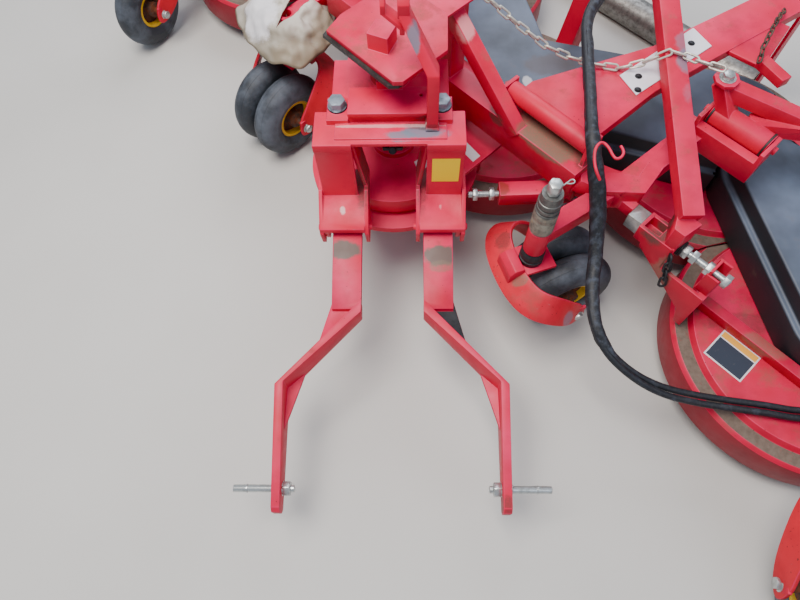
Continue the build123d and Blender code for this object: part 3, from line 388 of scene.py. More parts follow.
RED_WING = tractor_paint("enamel of the wing bars", "#b8002c", "#cc184a", "#900022", 0.5, 0.4, WING_SPOTS)
# darker, muddier red for the decks' upright sides
RED_DARKER_SIDES = tractor_paint("darker muddy red enamel of the deck sides", "#8e0c24", "#9c3048", "#700a1c", 0.7, 0.85)
RIM = tractor_paint("yellow rim enamel", "#e0b000", "#e6c02a", "#a07c10", 0.9, 0.5)
DISC = worn_steel("rusty wheel disc", "#4a2f22", "#2a1d18", "#6e3518", 0.9, 0.7, 0.1)
DRIED_MUD = worn_steel("dried mud in the groove", "#6e5f54", "#54483f", "#7b4f48", 0.5, 0.85, 0.0)
LIP_BARE = worn_steel("lip rubbed to bare steel", "#c08a70", "#a2644c", rusty=0.5, rough=0.5, metal=0.3)
ZINC = worn_steel("zinc plated steel", "#c3c7c6", "#7d7f7a", rusty=0.08, rough=0.30, metal=0.8)
BOLT = worn_steel("dull plated bolt", "#8f9aa6", "#565f6a", rusty=0.15, metal=0.45)
STEEL = worn_steel("bare worn steel")
SPINDLE = worn_steel("greased spindle steel", "#8f8b7e", "#3f3d38", "#8a6a44", 0.5, 0.5, 0.45)
CUTTER = worn_steel("cutter steel with dry grass", "#6d675c", "#3c382f", rusty=0.7, rough=0.6)
BLACK_STEEL = worn_steel("blackened steel", "#2b2c30", "#18191b", rusty=0.2, rough=0.5, metal=0.4)
STEEL_DARK = worn_steel("oiled dark steel", "#6a6b68", "#2c2b2a", rusty=0.35, rough=0.4, metal=0.6)
CHAIN = worn_steel("galvanised chain", "#d3d0c4", "#8d887b", rusty=0.15, rough=0.4, metal=0.6)
CHAIN_DARK = worn_steel("rusted chain", "#4f443c", "#2e2723", rusty=0.8, rough=0.6, metal=0.5)
# the tyre's blue-grey tint is partly dust, partly a painted reflection of the sky
TYRE = worn_rubber("tyre rubber", "#2a2f37", "#8791a0", 0.55, 150)
HOSE = worn_rubber("hydraulic hose rubber", "#14171f", "#4a5160", 0.2, 30)
WRAPPING = worn_rubber("black wrapping of the hoses", "#15181f", "#5b6474", 0.45, 16, (1, 1, 0.35))
SEAL = worn_rubber("seal rubber", "#1b1a1a", "#5a4b44", 0.4)
COVER = moulded_cover("bleached polyethylene cover", "#1c1f25", "#66748a", COVER_SPOTS)
CLOTH_SPOTS = spots_at(
    from_kingpin,
    ("#8d7f68", 0.75, -330, 360, 470, 130, 60, 60),
    ("#94896f", 0.6, -250, 470, 480, 60, 120, 60),
    ("#e9e7ee", 0.7, -480, 520, 500, 90, 110, 80),
)
CLOTH = moulded_cover("cream coated cloth, dirty on its sides", "#7d725f", "#ded8cc", CLOTH_SPOTS)
PALE = moulded_cover("dirty cream coated fabric", "#b9ad98", "#dcd9d2")
WHITE = moulded_cover("white plate", "#d5d3dc", "#e4e2ea")
VINYL_YELLOW = printed("yellow vinyl", "#ffd200", 0.55)
VINYL_AMBER = printed("amber vinyl", "#e2a640")
VINYL_DARK = printed("dark vinyl", "#2c3340")
VINYL_WHITE = printed("white vinyl", "#d9d6da")

FINISH = (
    # start of the node's name, finish, and that of its edges where it differs
    ("castor_tyre", TYRE),
    ("castor_wheel", RIM),
    ("castor_cowl", PALE),
    ("belt_cover", COVER),
    ("rotor", CUTTER),
    ("bearing_blocks", ZINC, STEEL),
    ("swing_stop_bolt", ZINC),
    ("hose", HOSE),
    ("pivot_seal", SEAL),
    ("deck", RED_DECK, RED_EDGE_WEAR_AND_HIGHLIGHT),
    ("hitch_arm", RED_ARM, RED_EDGE_WEAR_AND_HIGHLIGHT),
    ("pivot_cover", RED_LID, RED_EDGE_WEAR_AND_HIGHLIGHT),
    ("headstock", RED_HEAD, RED_EDGE_WEAR_AND_HIGHLIGHT),
    ("top_link_mast", RED_HEAD, RED_EDGE_WEAR_AND_HIGHLIGHT),
    ("carrier_frame", RED_FRAME, RED_EDGE_WEAR_AND_HIGHLIGHT),
    ("long_bars", RED_BAR, RED_EDGE_WEAR_AND_HIGHLIGHT),
    ("wing_bars", RED_WING, RED_EDGE_WEAR_AND_HIGHLIGHT),
    ("rear_roller", STEEL),
)
NODE_BODY = {
    node: body for body, nodes in frame["record"]["behaviour"]["bodies"].items() for node in nodes
}


def finish_of(name):
    """The finish of a CAD node and of its edges."""
    for begins, *finish in FINISH:
        if name.startswith(begins):
            return finish[0], finish[-1]
    return RED, RED_EDGE_WEAR_AND_HIGHLIGHT


for name, node in frame["nodes"].items():
    node.data.materials.clear()
    node.data.materials.append(finish_of(name)[0])

# Ways of making pieces


def alone(piece):
    """Selects one piece and makes it active."""
    bpy.ops.object.select_all(action="DESELECT")
    piece.select_set(True)
    bpy.context.view_layer.objects.active = piece


def primitive(shape, name, **place):
    """A new primitive, which alone is selected."""
    bpy.ops.object.select_all(action="DESELECT")
    shape(**place)
    piece = bpy.context.object
    piece.name = name
    return piece


def open_mesh(piece):
    """Opens a piece in edit mode with its whole mesh selected."""
    alone(piece)
    bpy.ops.object.mode_set(mode="EDIT")
    bpy.ops.mesh.select_all(action="SELECT")


def finished(piece, *materials):
    """Adds materials to a piece."""
    for material in materials:
        piece.data.materials.append(material)
    return piece


def from_points(name, points, edges=(), faces=()):
    """A new piece whose mesh has those points, edges and faces."""
    mesh = bpy.data.meshes.new(name)
    mesh.from_pydata([tuple(at) for at in points], edges, faces)
    piece = bpy.data.objects.new(name, mesh)
    bpy.context.collection.objects.link(piece)
    return piece


def modify(piece, kind, **settings):
    """Adds a modifier and applies it."""
    alone(piece)
    made = piece.modifiers.new(kind.lower(), kind)
    for key, value in settings.items():
        setattr(made, key, value)
    bpy.ops.object.modifier_apply(modifier=made.name)


def ease(piece, width, segments=2, angle=30, material=-1):
    """Rounds the sharp edges of a piece."""
    modify(
        piece, "BEVEL", width=width, segments=segments, limit_method="ANGLE",
        angle_limit=radians(angle), material=material, use_clamp_overlap=False,
    )
    bpy.ops.object.shade_smooth_by_angle(angle=radians(40))


def wrinkle(piece, kind, size, height, middle):
    """Pushes the surface in and out by a cloudy or cracked pattern, in metres."""
    folds = bpy.data.textures.new("wrinkles", kind)
    folds.noise_scale = size
    modify(piece, "DISPLACE", texture=folds, strength=height, mid_level=middle)


def settle(piece, body, material=None, replaced=()):
    """Applies a finished piece's place, gives its finish and ties it to its body."""
    alone(piece)
    bpy.ops.object.transform_apply(location=True, rotation=True, scale=True)
    if material:
        piece.data.materials.clear()
        piece.data.materials.append(material)
    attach(piece, body)
    if replaced:
        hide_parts(*replaced)


def joined(name, pieces):
    """Several pieces as one, each keeping its own finish."""
    alone(pieces[0])
    for one in pieces[1:]:
        one.select_set(True)
    if len(pieces) > 1:
        bpy.ops.object.join()
    made = bpy.context.object
    made.name = name
    return made


def assembled(name, *parts):
    """One piece made of modelled shapes, each copied to its places."""
    made = []
    for template, places in parts:
        for place in places:
            one = bpy.data.objects.new(name, template.data.copy())
            one.data.transform(place)
            bpy.context.collection.objects.link(one)
            made.append(one)
        bpy.data.objects.remove(template)
    return joined(name, made)


def fitted(name, body, material, *parts, slot="bare_steel"):
    """Small fittings made of copied shapes, tied to a body."""
    settle(assembled(name, *parts), body, material)


def loft(name, rings, material, rounding=0.002):
    """A closed solid through rings of the same number of points, its edges rounded."""
    count = len(rings[0])
    points = [at for ring in rings for at in ring]
    last = len(points) - count
    faces = [tuple(range(count)), tuple(range(last, len(points)))]
    for low in range(0, last, count):
        for i in range(count):
            j = (i + 1) % count
            faces.append((low + i, low + j, low + count + j, low + count + i))
    piece = from_points(name, points, faces=faces)
    open_mesh(piece)
    bpy.ops.mesh.normals_make_consistent(inside=False)
    bpy.ops.object.mode_set(mode="OBJECT")
    piece.data.materials.append(material)
    if rounding:
        ease(piece, rounding, 2, 25)
    return piece


def rectangle(to_world, x0, x1, y0, y1, z):
    """The corners of a level rectangle in one of the machine's directions."""
    return [to_world(x, y, z) for x, y in ((x0, y0), (x1, y0), (x1, y1), (x0, y1))]


def block(name, to_world, x, y, z, material, rounding=0.002):
    """A solid between two values on each axis of one of the machine's directions."""
    return loft(name, [rectangle(to_world, *x, *y, height) for height in z], material, rounding)


def cut_away(piece, tool):
    """Takes one solid out of another."""
    modify(piece, "BOOLEAN", operation="DIFFERENCE", solver="EXACT", object=tool)
    bpy.data.objects.remove(tool)


def upon(at, axis=(0, 0, 1), turn=0.0):
    """The place of a shape that stands on a point along an axis."""
    lean = Vector(axis).to_track_quat("Z", "Y").to_matrix().to_4x4()
    return Matrix.Translation(at) @ lean @ Matrix.Rotation(turn, 4, "Z")


def lathe(name, profile, place, steps=48):
    """A profile of radius and height turned round the Z axis, then put in its place."""
    edges = [(i, i + 1) for i in range(len(profile) - 1)]
    piece = from_points(name, [(radius, 0, height) for radius, height in profile], edges)
    open_mesh(piece)
    bpy.ops.mesh.spin(steps=steps, angle=2 * pi, center=(0, 0, 0), axis=(0, 0, 1))
    bpy.ops.mesh.select_all(action="SELECT")
    bpy.ops.mesh.remove_doubles(threshold=0.00005)
    bpy.ops.mesh.normals_make_consistent(inside=False)
    bpy.ops.object.mode_set(mode="OBJECT")
    piece.data.transform(place)
    bpy.ops.object.shade_smooth_by_angle(angle=radians(32))
    return piece


def cad_copy(node):
    """A copy of a CAD node's mesh with its loose triangles merged into faces."""
    piece = bpy.data.objects.new(f"{node}_eased", frame["nodes"][node].data.copy())
    bpy.context.collection.objects.link(piece)
    open_mesh(piece)
    bpy.ops.mesh.remove_doubles(threshold=0.00002)
    bpy.ops.mesh.dissolve_limited(angle_limit=radians(0.6))
    bpy.ops.mesh.quads_convert_to_tris(quad_method="BEAUTY", ngon_method="BEAUTY")
    bpy.ops.mesh.tris_convert_to_quads(face_threshold=radians(0.6), shape_threshold=radians(180))
    bpy.ops.object.mode_set(mode="OBJECT")
    return piece


def patches(piece, tests):
    """Gives faces their own finish by their place, each test taking a face's middle and normal."""
    for material, test in tests:
        piece.data.materials.append(material)
        index = len(piece.data.materials) - 1
        for face in piece.data.polygons:
            if test(face.center, face.normal):
                face.material_index = index


def mower_place(point):
    """A point's place in millimetres in the mower's own directions."""
    return FOLDED.inverted() @ point * 1000


def kingpin_place(point):
    """A point's place in millimetres in the headstock's directions."""
    return (point - KINGPIN) * 1000


def eased(node, width=0.0018, segments=2, tests=(), cuts=()):
    """A CAD node with its edges rounded and rubbed, standing for the node; its lighter edge finish is partly
    rubbed wear, partly a painted highlight.
    """
    piece = cad_copy(node)
    for tool in cuts:
        cut_away(piece, tool)
    piece.data.materials.clear()
    finished(piece, *finish_of(node))
    ease(piece, width, segments, material=1)
    patches(piece, tests)
    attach(piece, NODE_BODY[node])
    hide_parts(node)


# Hoses

# The first hose's points, and how far the second one lies beside it
HOSE_ROUTE = (
    # x, y, z, second hose to the side in x, in y, and above
    (763, 665, 640, -21, 0, 0),
    (763, 575, 640, -21, 0, 0),
    (738, 470, 668, -21, 3, 4),
    (668, 355, 694, -19, 4, 8),
    (600, 237, 700, -16, 2, 12),
    (585, 69, 702, -15, 0, 14),
    (571, -75, 710, -15, 0, 14),
    (554, -198, 724, -15, 0, 14),
    (560, -284, 690, -15, -3, 14),
    (588, -326, 606, -15, -10, 10),
    (607, -372, 512, -16, -10, 9),
    (609, -449, 440, -16, -6, 12),
    (597, -536, 402, -16, -3, 13),
    (594, -628, 388, -15, -7, 12),
    (627, -702, 345, -13, -12, 10),
    (708, -760, 298, -9, -17, 8),
    (802, -794, 264, -7, -22, 2),
    (902, -812, 248, -3, -24, 0),
    (1003, -828, 246, 0, -24, 0),
    (1102, -841, 246, 0, -24, 0),
    (1190, -860, 247, 0, -24, 0),
    (1270, -860, 247, 0, -24, 0),
)
HOSE_DIAMETER = 0.020
# The wrapping's radius in millimetres at each point of the route, from its first point on
WRAP_START = 2
WRAP_RADII = (0.0001, 17, 17.5, 18, 18, 19, 22, 25, 24, 22, 21, 20, 19, 0.0001)


def hose_line(share, rows=HOSE_ROUTE):
    """The route of the first hose at share 0, of the second one at 1, and between them."""
    return [from_kingpin(x + share * dx, y + share * dy, z + share * dz) for x, y, z, dx, dy, dz in rows]


def smooth_cord(name, points, diameter, material, roundness=4):
    """A round cord along one smooth spline."""
    curve = bpy.data.curves.new(name, "CURVE")
    curve.dimensions = "3D"
    curve.bevel_depth = diameter / 2
    curve.bevel_resolution = roundness
    curve.use_fill_caps = True
    spline = curve.splines.new("NURBS")
    spline.points.add(len(points) - 1)
    for knot, at in zip(spline.points, points):
        knot.co = (*at, 1)
    spline.order_u = 3
    spline.use_endpoint_u = True
    spline.resolution_u = 10
    curve.materials.append(material)
    piece = bpy.data.objects.new(name, curve)
    bpy.context.collection.objects.link(piece)
    return piece


def made_mesh(cord, name):
    """A cord turned into a mesh."""
    alone(cord)
    bpy.ops.object.convert(target="MESH")
    piece = bpy.context.object
    piece.name = name
    return piece


# A wrapped sleeve binds both hoses where they hang down from the frame
wrap_rows = HOSE_ROUTE[WRAP_START:WRAP_START + len(WRAP_RADII)]
wrap = smooth_cord("hose_wrap", hose_line(0.5, wrap_rows), 0.002, WRAPPING, 6)
for knot, radius in zip(wrap.data.splines[0].points, WRAP_RADII):
    knot.radius = radius
wrap = made_mesh(wrap, "hose_wrap")
for size, height in ((0.045, 0.006), (0.012, 0.002)):
    wrinkle(wrap, "CLOUDS", size, height, 0.6)
bpy.ops.object.shade_smooth()
settle(wrap, "carrier", None)

for name, share, length in (("inner", 0, 2.27), ("outer", 1, 2.302)):
    route = hose_line(share)
    hose = smooth_cord(f"hydraulic_hose_{name}", route, HOSE_DIAMETER, HOSE)
    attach(hose, "carrier")
    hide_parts(f"hose_{name}")

# Headstock with its cap bolts
CAP_BOLTS = ((143, -148), (-143, -148))
BOLT_REACH = 30
BOLT_BASE = (750.5, 755)
BOLT_HEAD = (755, 777)


def near(x, y, z0, z1):
    """A test for faces close to a cap bolt's axis, between two heights."""
    def test(middle, normal):
        at = kingpin_place(middle)
        return z0 < at.z < z1 and (at.x - x) ** 2 + (at.y - y) ** 2 < BOLT_REACH ** 2
    return test


bolt_tests = [(BOLT, near(*at, *BOLT_HEAD)) for at in CAP_BOLTS]
bolt_tests += [(BLACK_STEEL, near(*at, *BOLT_BASE)) for at in CAP_BOLTS]
eased("headstock", 0.0016, tests=bolt_tests)

# Mast: an upright square tube that leans over into a forked head for the top link
MAST_TUBE = (
    # level sections: x0, x1, y0, y1, z
    (101, 131, -227, -183, 744), (101, 131, -227, -183, 900), (99, 130, -226, -182, 925),
    (34, 62, -156, -112, 1030), (30, 58, -152, -108, 1042),
)
MAST_STEP = ((34, 46, -152, -108, 985), (34, 46, -152, -108, 1000), (-10, 2, -150, -110, 1042))
MAST_WELD = ((97, 135, -231, -179, 742), (101, 131, -227, -183, 750))
MAST_HEAD = (
    # y, z
    (-152, 1030), (-108, 1030), (-106, 1062), (-116, 1077), (-130, 1080), (-144, 1078), (-154, 1066),
)
MAST_CHEEK = (
    (-150, 1040), (-110, 1040), (-108, 1062), (-116, 1075), (-130, 1079), (-142, 1076), (-152, 1064),
)
EYE_PIN = (29, -130, 1055)
EYE_RADIUS = 0.0096


def mast_part(name, sections, rounding):
    """A part of the mast through level sections."""
    return loft(name, [rectangle(from_kingpin, *at) for at in sections], RED_HEAD, rounding)


def mast_fork(name, outline, sides):
    """One half of the mast's fork, with its bore for the top link's pin."""
    half = loft(name, [[from_kingpin(x, y, z) for y, z in outline] for x in sides], RED_HEAD, 0)
    cut_away(half, primitive(
        bpy.ops.mesh.primitive_cylinder_add, "bore", vertices=32, radius=EYE_RADIUS, depth=0.2,
        location=from_kingpin(*EYE_PIN), rotation=(0, pi / 2, 0),
    ))
    ease(half, 0.0016, 2, 25)
    return half


mast = joined("top_link_mast_eased", [
    mast_part("mast_bar", MAST_TUBE, 0.0035),
    mast_fork("mast_head", MAST_HEAD, (30, 58)),
    mast_fork("mast_cheek", MAST_CHEEK, (-10, 2)),
    mast_part("mast_step", MAST_STEP, 0.0015),
    mast_part("mast_weld", MAST_WELD, 0.002),
])
settle(mast, "headstock", replaced=("top_link_mast",))

# Hitch arms, whose pins are zinc plated: the pin's axis in y and z, its collar's face and its inner end
PIN_AT = (-1079, 195)
PIN_FACE = 341.6
PIN_INNER = 317
PIN_REACH = 22
GUSSET_INNER = 150
GUSSET_Y = (-690, -540)
GUSSET_Z = (321, 333)


def hitch_pin(middle, normal):
    """Faces of the hitch pin and of its inner end."""
    at = kingpin_place(middle)
    away = (at.y - PIN_AT[0]) ** 2 + (at.z - PIN_AT[1]) ** 2
    return away < PIN_REACH ** 2 and (abs(at.x) > PIN_FACE or abs(at.x) < PIN_INNER)


def shaded_gusset_top(middle, normal):
    """The top of the gusset between the bar and the plate on edge, painted dark as shade."""
    at = kingpin_place(middle)
    level = GUSSET_Z[0] < at.z < GUSSET_Z[1] and normal.z > 0.5
    return level and GUSSET_Y[0] < at.y < GUSSET_Y[1] and abs(at.x) > GUSSET_INNER


eased("hitch_arm_left", 0.002, tests=[(ZINC, hitch_pin)])
# the right arm's gusset top is painted shade in blackened steel
eased("hitch_arm_right", 0.002, tests=[(ZINC, hitch_pin), (BLACK_STEEL, shaded_gusset_top)])

# Frames, decks, wing bars, covers and rotors
for node in (
    "carrier_frame", "pivot_cover", "bearing_blocks", "long_bars", "rear_post",
    "rear_frame_centre", "rear_frame_left", "rear_frame_right",
):
    eased(node)


# Heights of a deck's shelf, skirt and rim, and the place where the centre deck's rim is bare
SHELF_Z = 0.200
SKIRT_TOP = 0.196
RIM_TOP = 0.110
BARE_X = 290
BARE_REACH = 110
BARE_BACK = 300


def groove(middle, normal):
    """The shelf round a deck's raised disc, where soil stays."""
    return abs(middle.z - SHELF_Z) < 0.002 and normal.z > 0.9


def skirt(middle, normal):
    """The upright side of a deck, which gets a darker red."""
    return middle.z < SKIRT_TOP and abs(normal.z) < 0.3


def bare_rim(middle, normal):
    """The part of the centre deck's lower rim that has been rubbed bare."""
    at = mower_place(middle)
    return middle.z < RIM_TOP and abs(at.x - BARE_X) < BARE_REACH and at.y < BARE_BACK


for node in ("deck_centre", "decks_rear", "deck_wing_left", "deck_wing_right"):
    eased(node, tests=[(DRIED_MUD, groove), (RED_DARKER_SIDES, skirt), (LIP_BARE, bare_rim)])


def either_side(x, side):
    """A span along the row of decks, on the right or mirrored on the left."""
    return x if side > 0 else (-x[1], -x[0])


# The wing bars' ends: the adjuster's slot is cut out, and so is a pocket in the bar's open end
WING_CUTS = (((893, 1062), (238, 402), (400, 524)), ((782, 834), (277, 323), (462, 524)))
eased("wing_bars", cuts=[
    block("cut", on_mower, either_side(x, side), y, z, RED_WING, 0)
    for name, side in SIDES for x, y, z in WING_CUTS
])
for node in ("belt_cover_centre", "belt_covers_wing"):
    eased(node, 0.009, 3)
for name in ("centre", "rear_left", "rear_right", "wing_left", "wing_right"):
    eased(f"rotor_{name}", 0.0012, 1)

# Castors
TWIN_TRAIL = 130
SINGLE_TRAIL = 165
CASTORS = (
    # name, spindle x, spindle y, turn of the trailing wheel, wheels, trail
    ("inner_right", 587, 38, 65.6, 2, TWIN_TRAIL),
    ("inner_left", -636, 65, 275.1, 2, TWIN_TRAIL),
    ("outer_right", 1688, 60, -58.4, 1, SINGLE_TRAIL),
    ("outer_left", -1559, 31, 286.6, 1, SINGLE_TRAIL),
)
TYRE_RADIUS = 0.165
TYRE_WIDTH = 0.104
TYRE_GAP = 0.012
DISC_RADIUS = 0.058
# Implement tyre worn smooth: a full round section with a low moulded ring on its wall, closed at the rim
TYRE_HALF = (
    # radius, distance from the middle
    (78.2, 39.5), (85, 45.2), (94, 49.2), (103, 51), (105, 51.9), (108.5, 51.9), (110.5, 51.2),
    (122, 50.6), (134, 47.6), (144, 42.4), (152, 35.2), (158, 26.6), (161.8, 18), (162.2, 16.8),
    (161.2, 16), (162.4, 15.2), (164.2, 8), (165, 0),
)
TYRE_RING = [*TYRE_HALF, *((radius, -out) for radius, out in TYRE_HALF[-2::-1]), TYRE_HALF[0]]
TYRE_PROFILE = [(radius / 1000, out / 1000) for radius, out in TYRE_RING]


def castor_wheels(name, x, y, turn, wheels, trail):
    """One castor's tyres, and its wheels with rusty discs inside their yellow rims."""
    turned = FOLD + radians(turn)
    ahead = Vector((cos(turned), sin(turned), 0))
    across = Vector((-sin(turned), cos(turned), 0))
    axle = on_mower(x, y, 0) + ahead * trail / 1000 + Vector((0, 0, TYRE_RADIUS))
    apart = (TYRE_WIDTH + TYRE_GAP) / 2
    offsets = (-apart, apart) if wheels == 2 else (0,)
    tyres = [lathe("tyre", TYRE_PROFILE, upon(axle + across * offset, across)) for offset in offsets]
    tyres = joined(f"implement_tyre_{name}", tyres)
    settle(tyres, f"wheels_{name}", TYRE, (f"castor_tyre_{name}",))

    def rusty_disc(middle, normal):
        return (middle - axle).cross(across).length < DISC_RADIUS

    eased(f"castor_wheel_{name}", 0.0012, 1, tests=[(DISC, rusty_disc)])


for castor in CASTORS:
    castor_wheels(*castor)

# Shapes of the fastenings


def hex_solid(across_flats, height):
    """A hexagon head or nut that stands on Z 0, its corners chamfered."""
    piece = primitive(
        bpy.ops.mesh.primitive_cylinder_add, "hexagon", vertices=6,
        radius=across_flats / 2 / cos(pi / 6), depth=height, location=(0, 0, height / 2),
    )
    bpy.ops.object.transform_apply(location=True, rotation=True, scale=True)
    ease(piece, height * 0.12, 2, 50)
    return piece


def ring_solid(outer, inner, height):
    """A flat washer or collar that stands on Z 0."""
    edge = min(height, outer - inner) * 0.2
    profile = (
        (inner, 0), (outer - edge, 0), (outer, edge), (outer, height - edge),
        (outer - edge, height), (inner, height), (inner, 0),
    )
    return lathe("ring", profile, Matrix.Identity(4), 32)


def stub_solid(radius, height):
    """A round end that stands on Z 0, its rim chamfered."""
    edge = radius * 0.18
    profile = ((0.0001, 0), (radius, 0), (radius, height - edge), (radius - edge, height), (0.0001, height))
    return lathe("stub", profile, Matrix.Identity(4), 28)


# Castor forks: a bar bent smoothly round the tyres and down to the axle
FORK_UPPER = (
    # along the trail, to the side, height
    (150, 150, 205), (120, 152, 235), (80, 152, 285), (40, 148, 325), (5, 136, 346), (-22, 108, 352),
    (-34, 60, 352), (-36, 0, 352),
)
FORK_LOWER = (
    (168, 152, 135), (128, 168, 135), (80, 190, 175), (30, 204, 235), (-25, 196, 275), (-80, 160, 288),
    (-108, 90, 290), (-114, 0, 290),
)
FORK_BASE = ((-44, 66), (-52, 52), (339, 352))
FORK_THICKNESS = 0.012
FORK_BOX = ((-92, -36, -44, 44, 290), (-88, -36, -44, 44, 352), (-70, -40, -42, 42, 370))
SINGLE_WIDTH = 0.62     # a single wheel's fork as a share of the twin wheels' one
FORK_SIDE = 158         # the bar's side at the axle, from which the axle heads stand out
HEADS_OUT = 6
LUG_REACH = 26
LUG_DEPTHS = (14, 2)    # the lugs' two faces inside the axle heads' seats
LUG_Z = (135, 205)
AXLE_Z = 165
SPINDLE_PROFILE = (
    # radius, height, from the base plate up to the head's hexagon
    (0.0001, 352), (36, 352), (38, 356), (38, 372), (33, 374), (33, 378), (37, 380), (37, 404), (32, 412),
    (20, 413), (20, 527), (34, 529), (35, 532), (35, 586), (34, 588), (34, 590), (35, 592), (35, 620),
    (33, 624), (29, 625), (29, 630), (33, 631), (33.5, 634), (33.5, 641), (33, 643), (29, 644), (29, 650),
    (33, 651), (34, 654), (34, 665), (33, 668), (31, 669), (31, 680), (29, 696), (0.0001, 696),
)
SPINDLE_TOP = 696
BLACK_BELOW = 0.413
DARK_ABOVE = 0.621
HIDDEN_TOP = 522        # the loose cloth lies over the inner left spindle, whose head isn't seen


def castor_fork(name, x, y, turn, wheels, trail):
    """One castor's fork with its base plate, box, axle heads, lugs, spindle and the spindle's head."""
    place = Matrix.Translation(on_mower(x, y, 0))
    turned = place @ Matrix.Rotation(FOLD + radians(turn), 4, "Z")

    def local(a, c, z):
        """A point in millimetres along the trail, to the side and up."""
        return turned @ (Vector((a, c, z)) / 1000)

    wide, long = (1, 1) if wheels == 2 else (SINGLE_WIDTH, trail / TWIN_TRAIL)
    points = []
    for row in (FORK_UPPER, FORK_LOWER):
        side = [(a * long if a > 0 else a, c * wide, z) for a, c, z in row]
        points += [local(a, c, z) for a, c, z in side] + [local(a, -c, z) for a, c, z in side[-2::-1]]
    count = len(points) // 2
    strip = [(i, i + 1, count + i + 1, count + i) for i in range(count - 1)]
    bar = from_points("fork_bar", points, faces=strip)
    modify(bar, "SUBSURF", levels=2, render_levels=2)
    modify(bar, "SOLIDIFY", thickness=FORK_THICKNESS, offset=0.0)
    finished(bar, RED_FORK, RED_EDGE_WEAR_AND_HIGHLIGHT)
    ease(bar, 0.002, 2, 50, material=1)
    base = block("base_plate", local, *FORK_BASE, RED)
    box = loft("box", [rectangle(local, *at) for at in FORK_BOX], RED, 0.003)

    axle = TWIN_TRAIL * long
    out = FORK_SIDE * wide + HEADS_OUT

    def axle_ends(distance):
        """The places on the axle at that distance on both sides."""
        return [upon(local(axle, c * distance, AXLE_Z), local(0, c, 0) - local(0, 0, 0)) for c in (-1, 1)]

    heads = finished(assembled(
        "axle_heads",
        (hex_solid(0.030, 0.012), axle_ends(out)),
        (ring_solid(0.021, 0.006, 0.003), axle_ends(out - 2)),
    ), ZINC)
    inner, outer = (out - depth for depth in LUG_DEPTHS)
    lugs = [
        block("axle_lug", local, (axle - LUG_REACH, axle + LUG_REACH), faces, LUG_Z, RED, 0.004)
        for faces in ((-outer, -inner), (inner, outer))
    ]
    hidden = name == "inner_left"
    profile = [(r / 1000, z / 1000) for r, z in SPINDLE_PROFILE if z < HIDDEN_TOP or not hidden]
    if hidden:
        profile.append((0.0001, HIDDEN_TOP / 1000))
    spindle = finished(lathe("spindle", profile, place, 40), SPINDLE)
    patches(spindle, [
        (BLACK_STEEL, lambda middle, normal: middle.z < BLACK_BELOW),
        (STEEL_DARK, lambda middle, normal: middle.z > DARK_ABOVE),
    ])
    parts = [bar, base, box, heads, spindle, *lugs]
    if not hidden:
        head = finished(hex_solid(0.036, 0.042), ZINC)
        head.data.transform(upon(on_mower(x, y, SPINDLE_TOP), turn=0.4))
        parts.append(head)
    fork = joined(f"castor_fork_{name}_eased", parts)
    settle(fork, f"castor_{name}", replaced=(f"castor_fork_{name}",))


for castor in CASTORS:
    castor_fork(*castor)

# Swing stop bolt with its two nuts
STOP_AT = (388, 87, 445)
STOP_RUN = (-153, -172, 0)
STOP_NUTS = (0.014, 0.066)
STOP_THREAD = [0.030 + 0.003 * i for i in range(12)]
stop_face = on_mower(*STOP_AT)
stop_axis = (on_mower(*(a + b for a, b in zip(STOP_AT, STOP_RUN))) - stop_face).normalized()


def on_stop(distance, turn=0.0):
    """A place on the stop bolt's axis."""
    return upon(stop_face + stop_axis * distance, stop_axis, turn)


stop = assembled(
    "swing_stop_bolt_eased",
    (stub_solid(0.0095, 0.100), [on_stop(-0.005)]),
    (hex_solid(0.036, 0.015), [on_stop(d, 3 * d) for d in STOP_NUTS]),
    (ring_solid(0.0104, 0.0092, 0.0012), [on_stop(d) for d in STOP_THREAD]),
)
settle(stop, NODE_BODY["swing_stop_bolt"], ZINC, ("swing_stop_bolt",))

# Hitch pins' fittings: the nut and thread at the inner end, the collar and the linchpin's groove
COLLAR_FACE = 341.5
PIN_GROOVE = 419.5
PIN_NUT = 316.4
PIN_THREAD = 294
for name, side in SIDES:
    def on_pin(x, way):
        """A place on the hitch pin's axis, facing outwards at 1 and inwards at -1."""
        return upon(from_kingpin(side * x, *PIN_AT), (way * side, 0, 0))

    fitted(
        f"hitch_pin_fittings_{name}", f"hitch_arm_{name}", ZINC,
        (hex_solid(0.0386, 0.0225), [on_pin(PIN_NUT, -1)]),
        (stub_solid(0.0105, 0.012), [on_pin(PIN_THREAD, -1)]),
        (ring_solid(0.0185, 0.0109, 0.007), [on_pin(COLLAR_FACE, 1)]),
        (ring_solid(0.0125, 0.0109, 0.004), [on_pin(PIN_GROOVE, 1)]),
    )

# Dark stub with its flange under the cross plate, between the columns
STUB_PROFILE = ((0.0001, 0), (0.012, 0), (0.012, 0.020), (0.009, 0.024), (0.0001, 0.024))
stub = joined("sleeve_stub", [
    block("flange", from_kingpin, (-26, 34), (-172, -150), (592, 604), BLACK_STEEL),
    lathe("stub", STUB_PROFILE, upon(from_kingpin(4, -168, 596), (0, -0.8, 0.6)), 28),
])
settle(stub, "headstock", BLACK_STEEL)

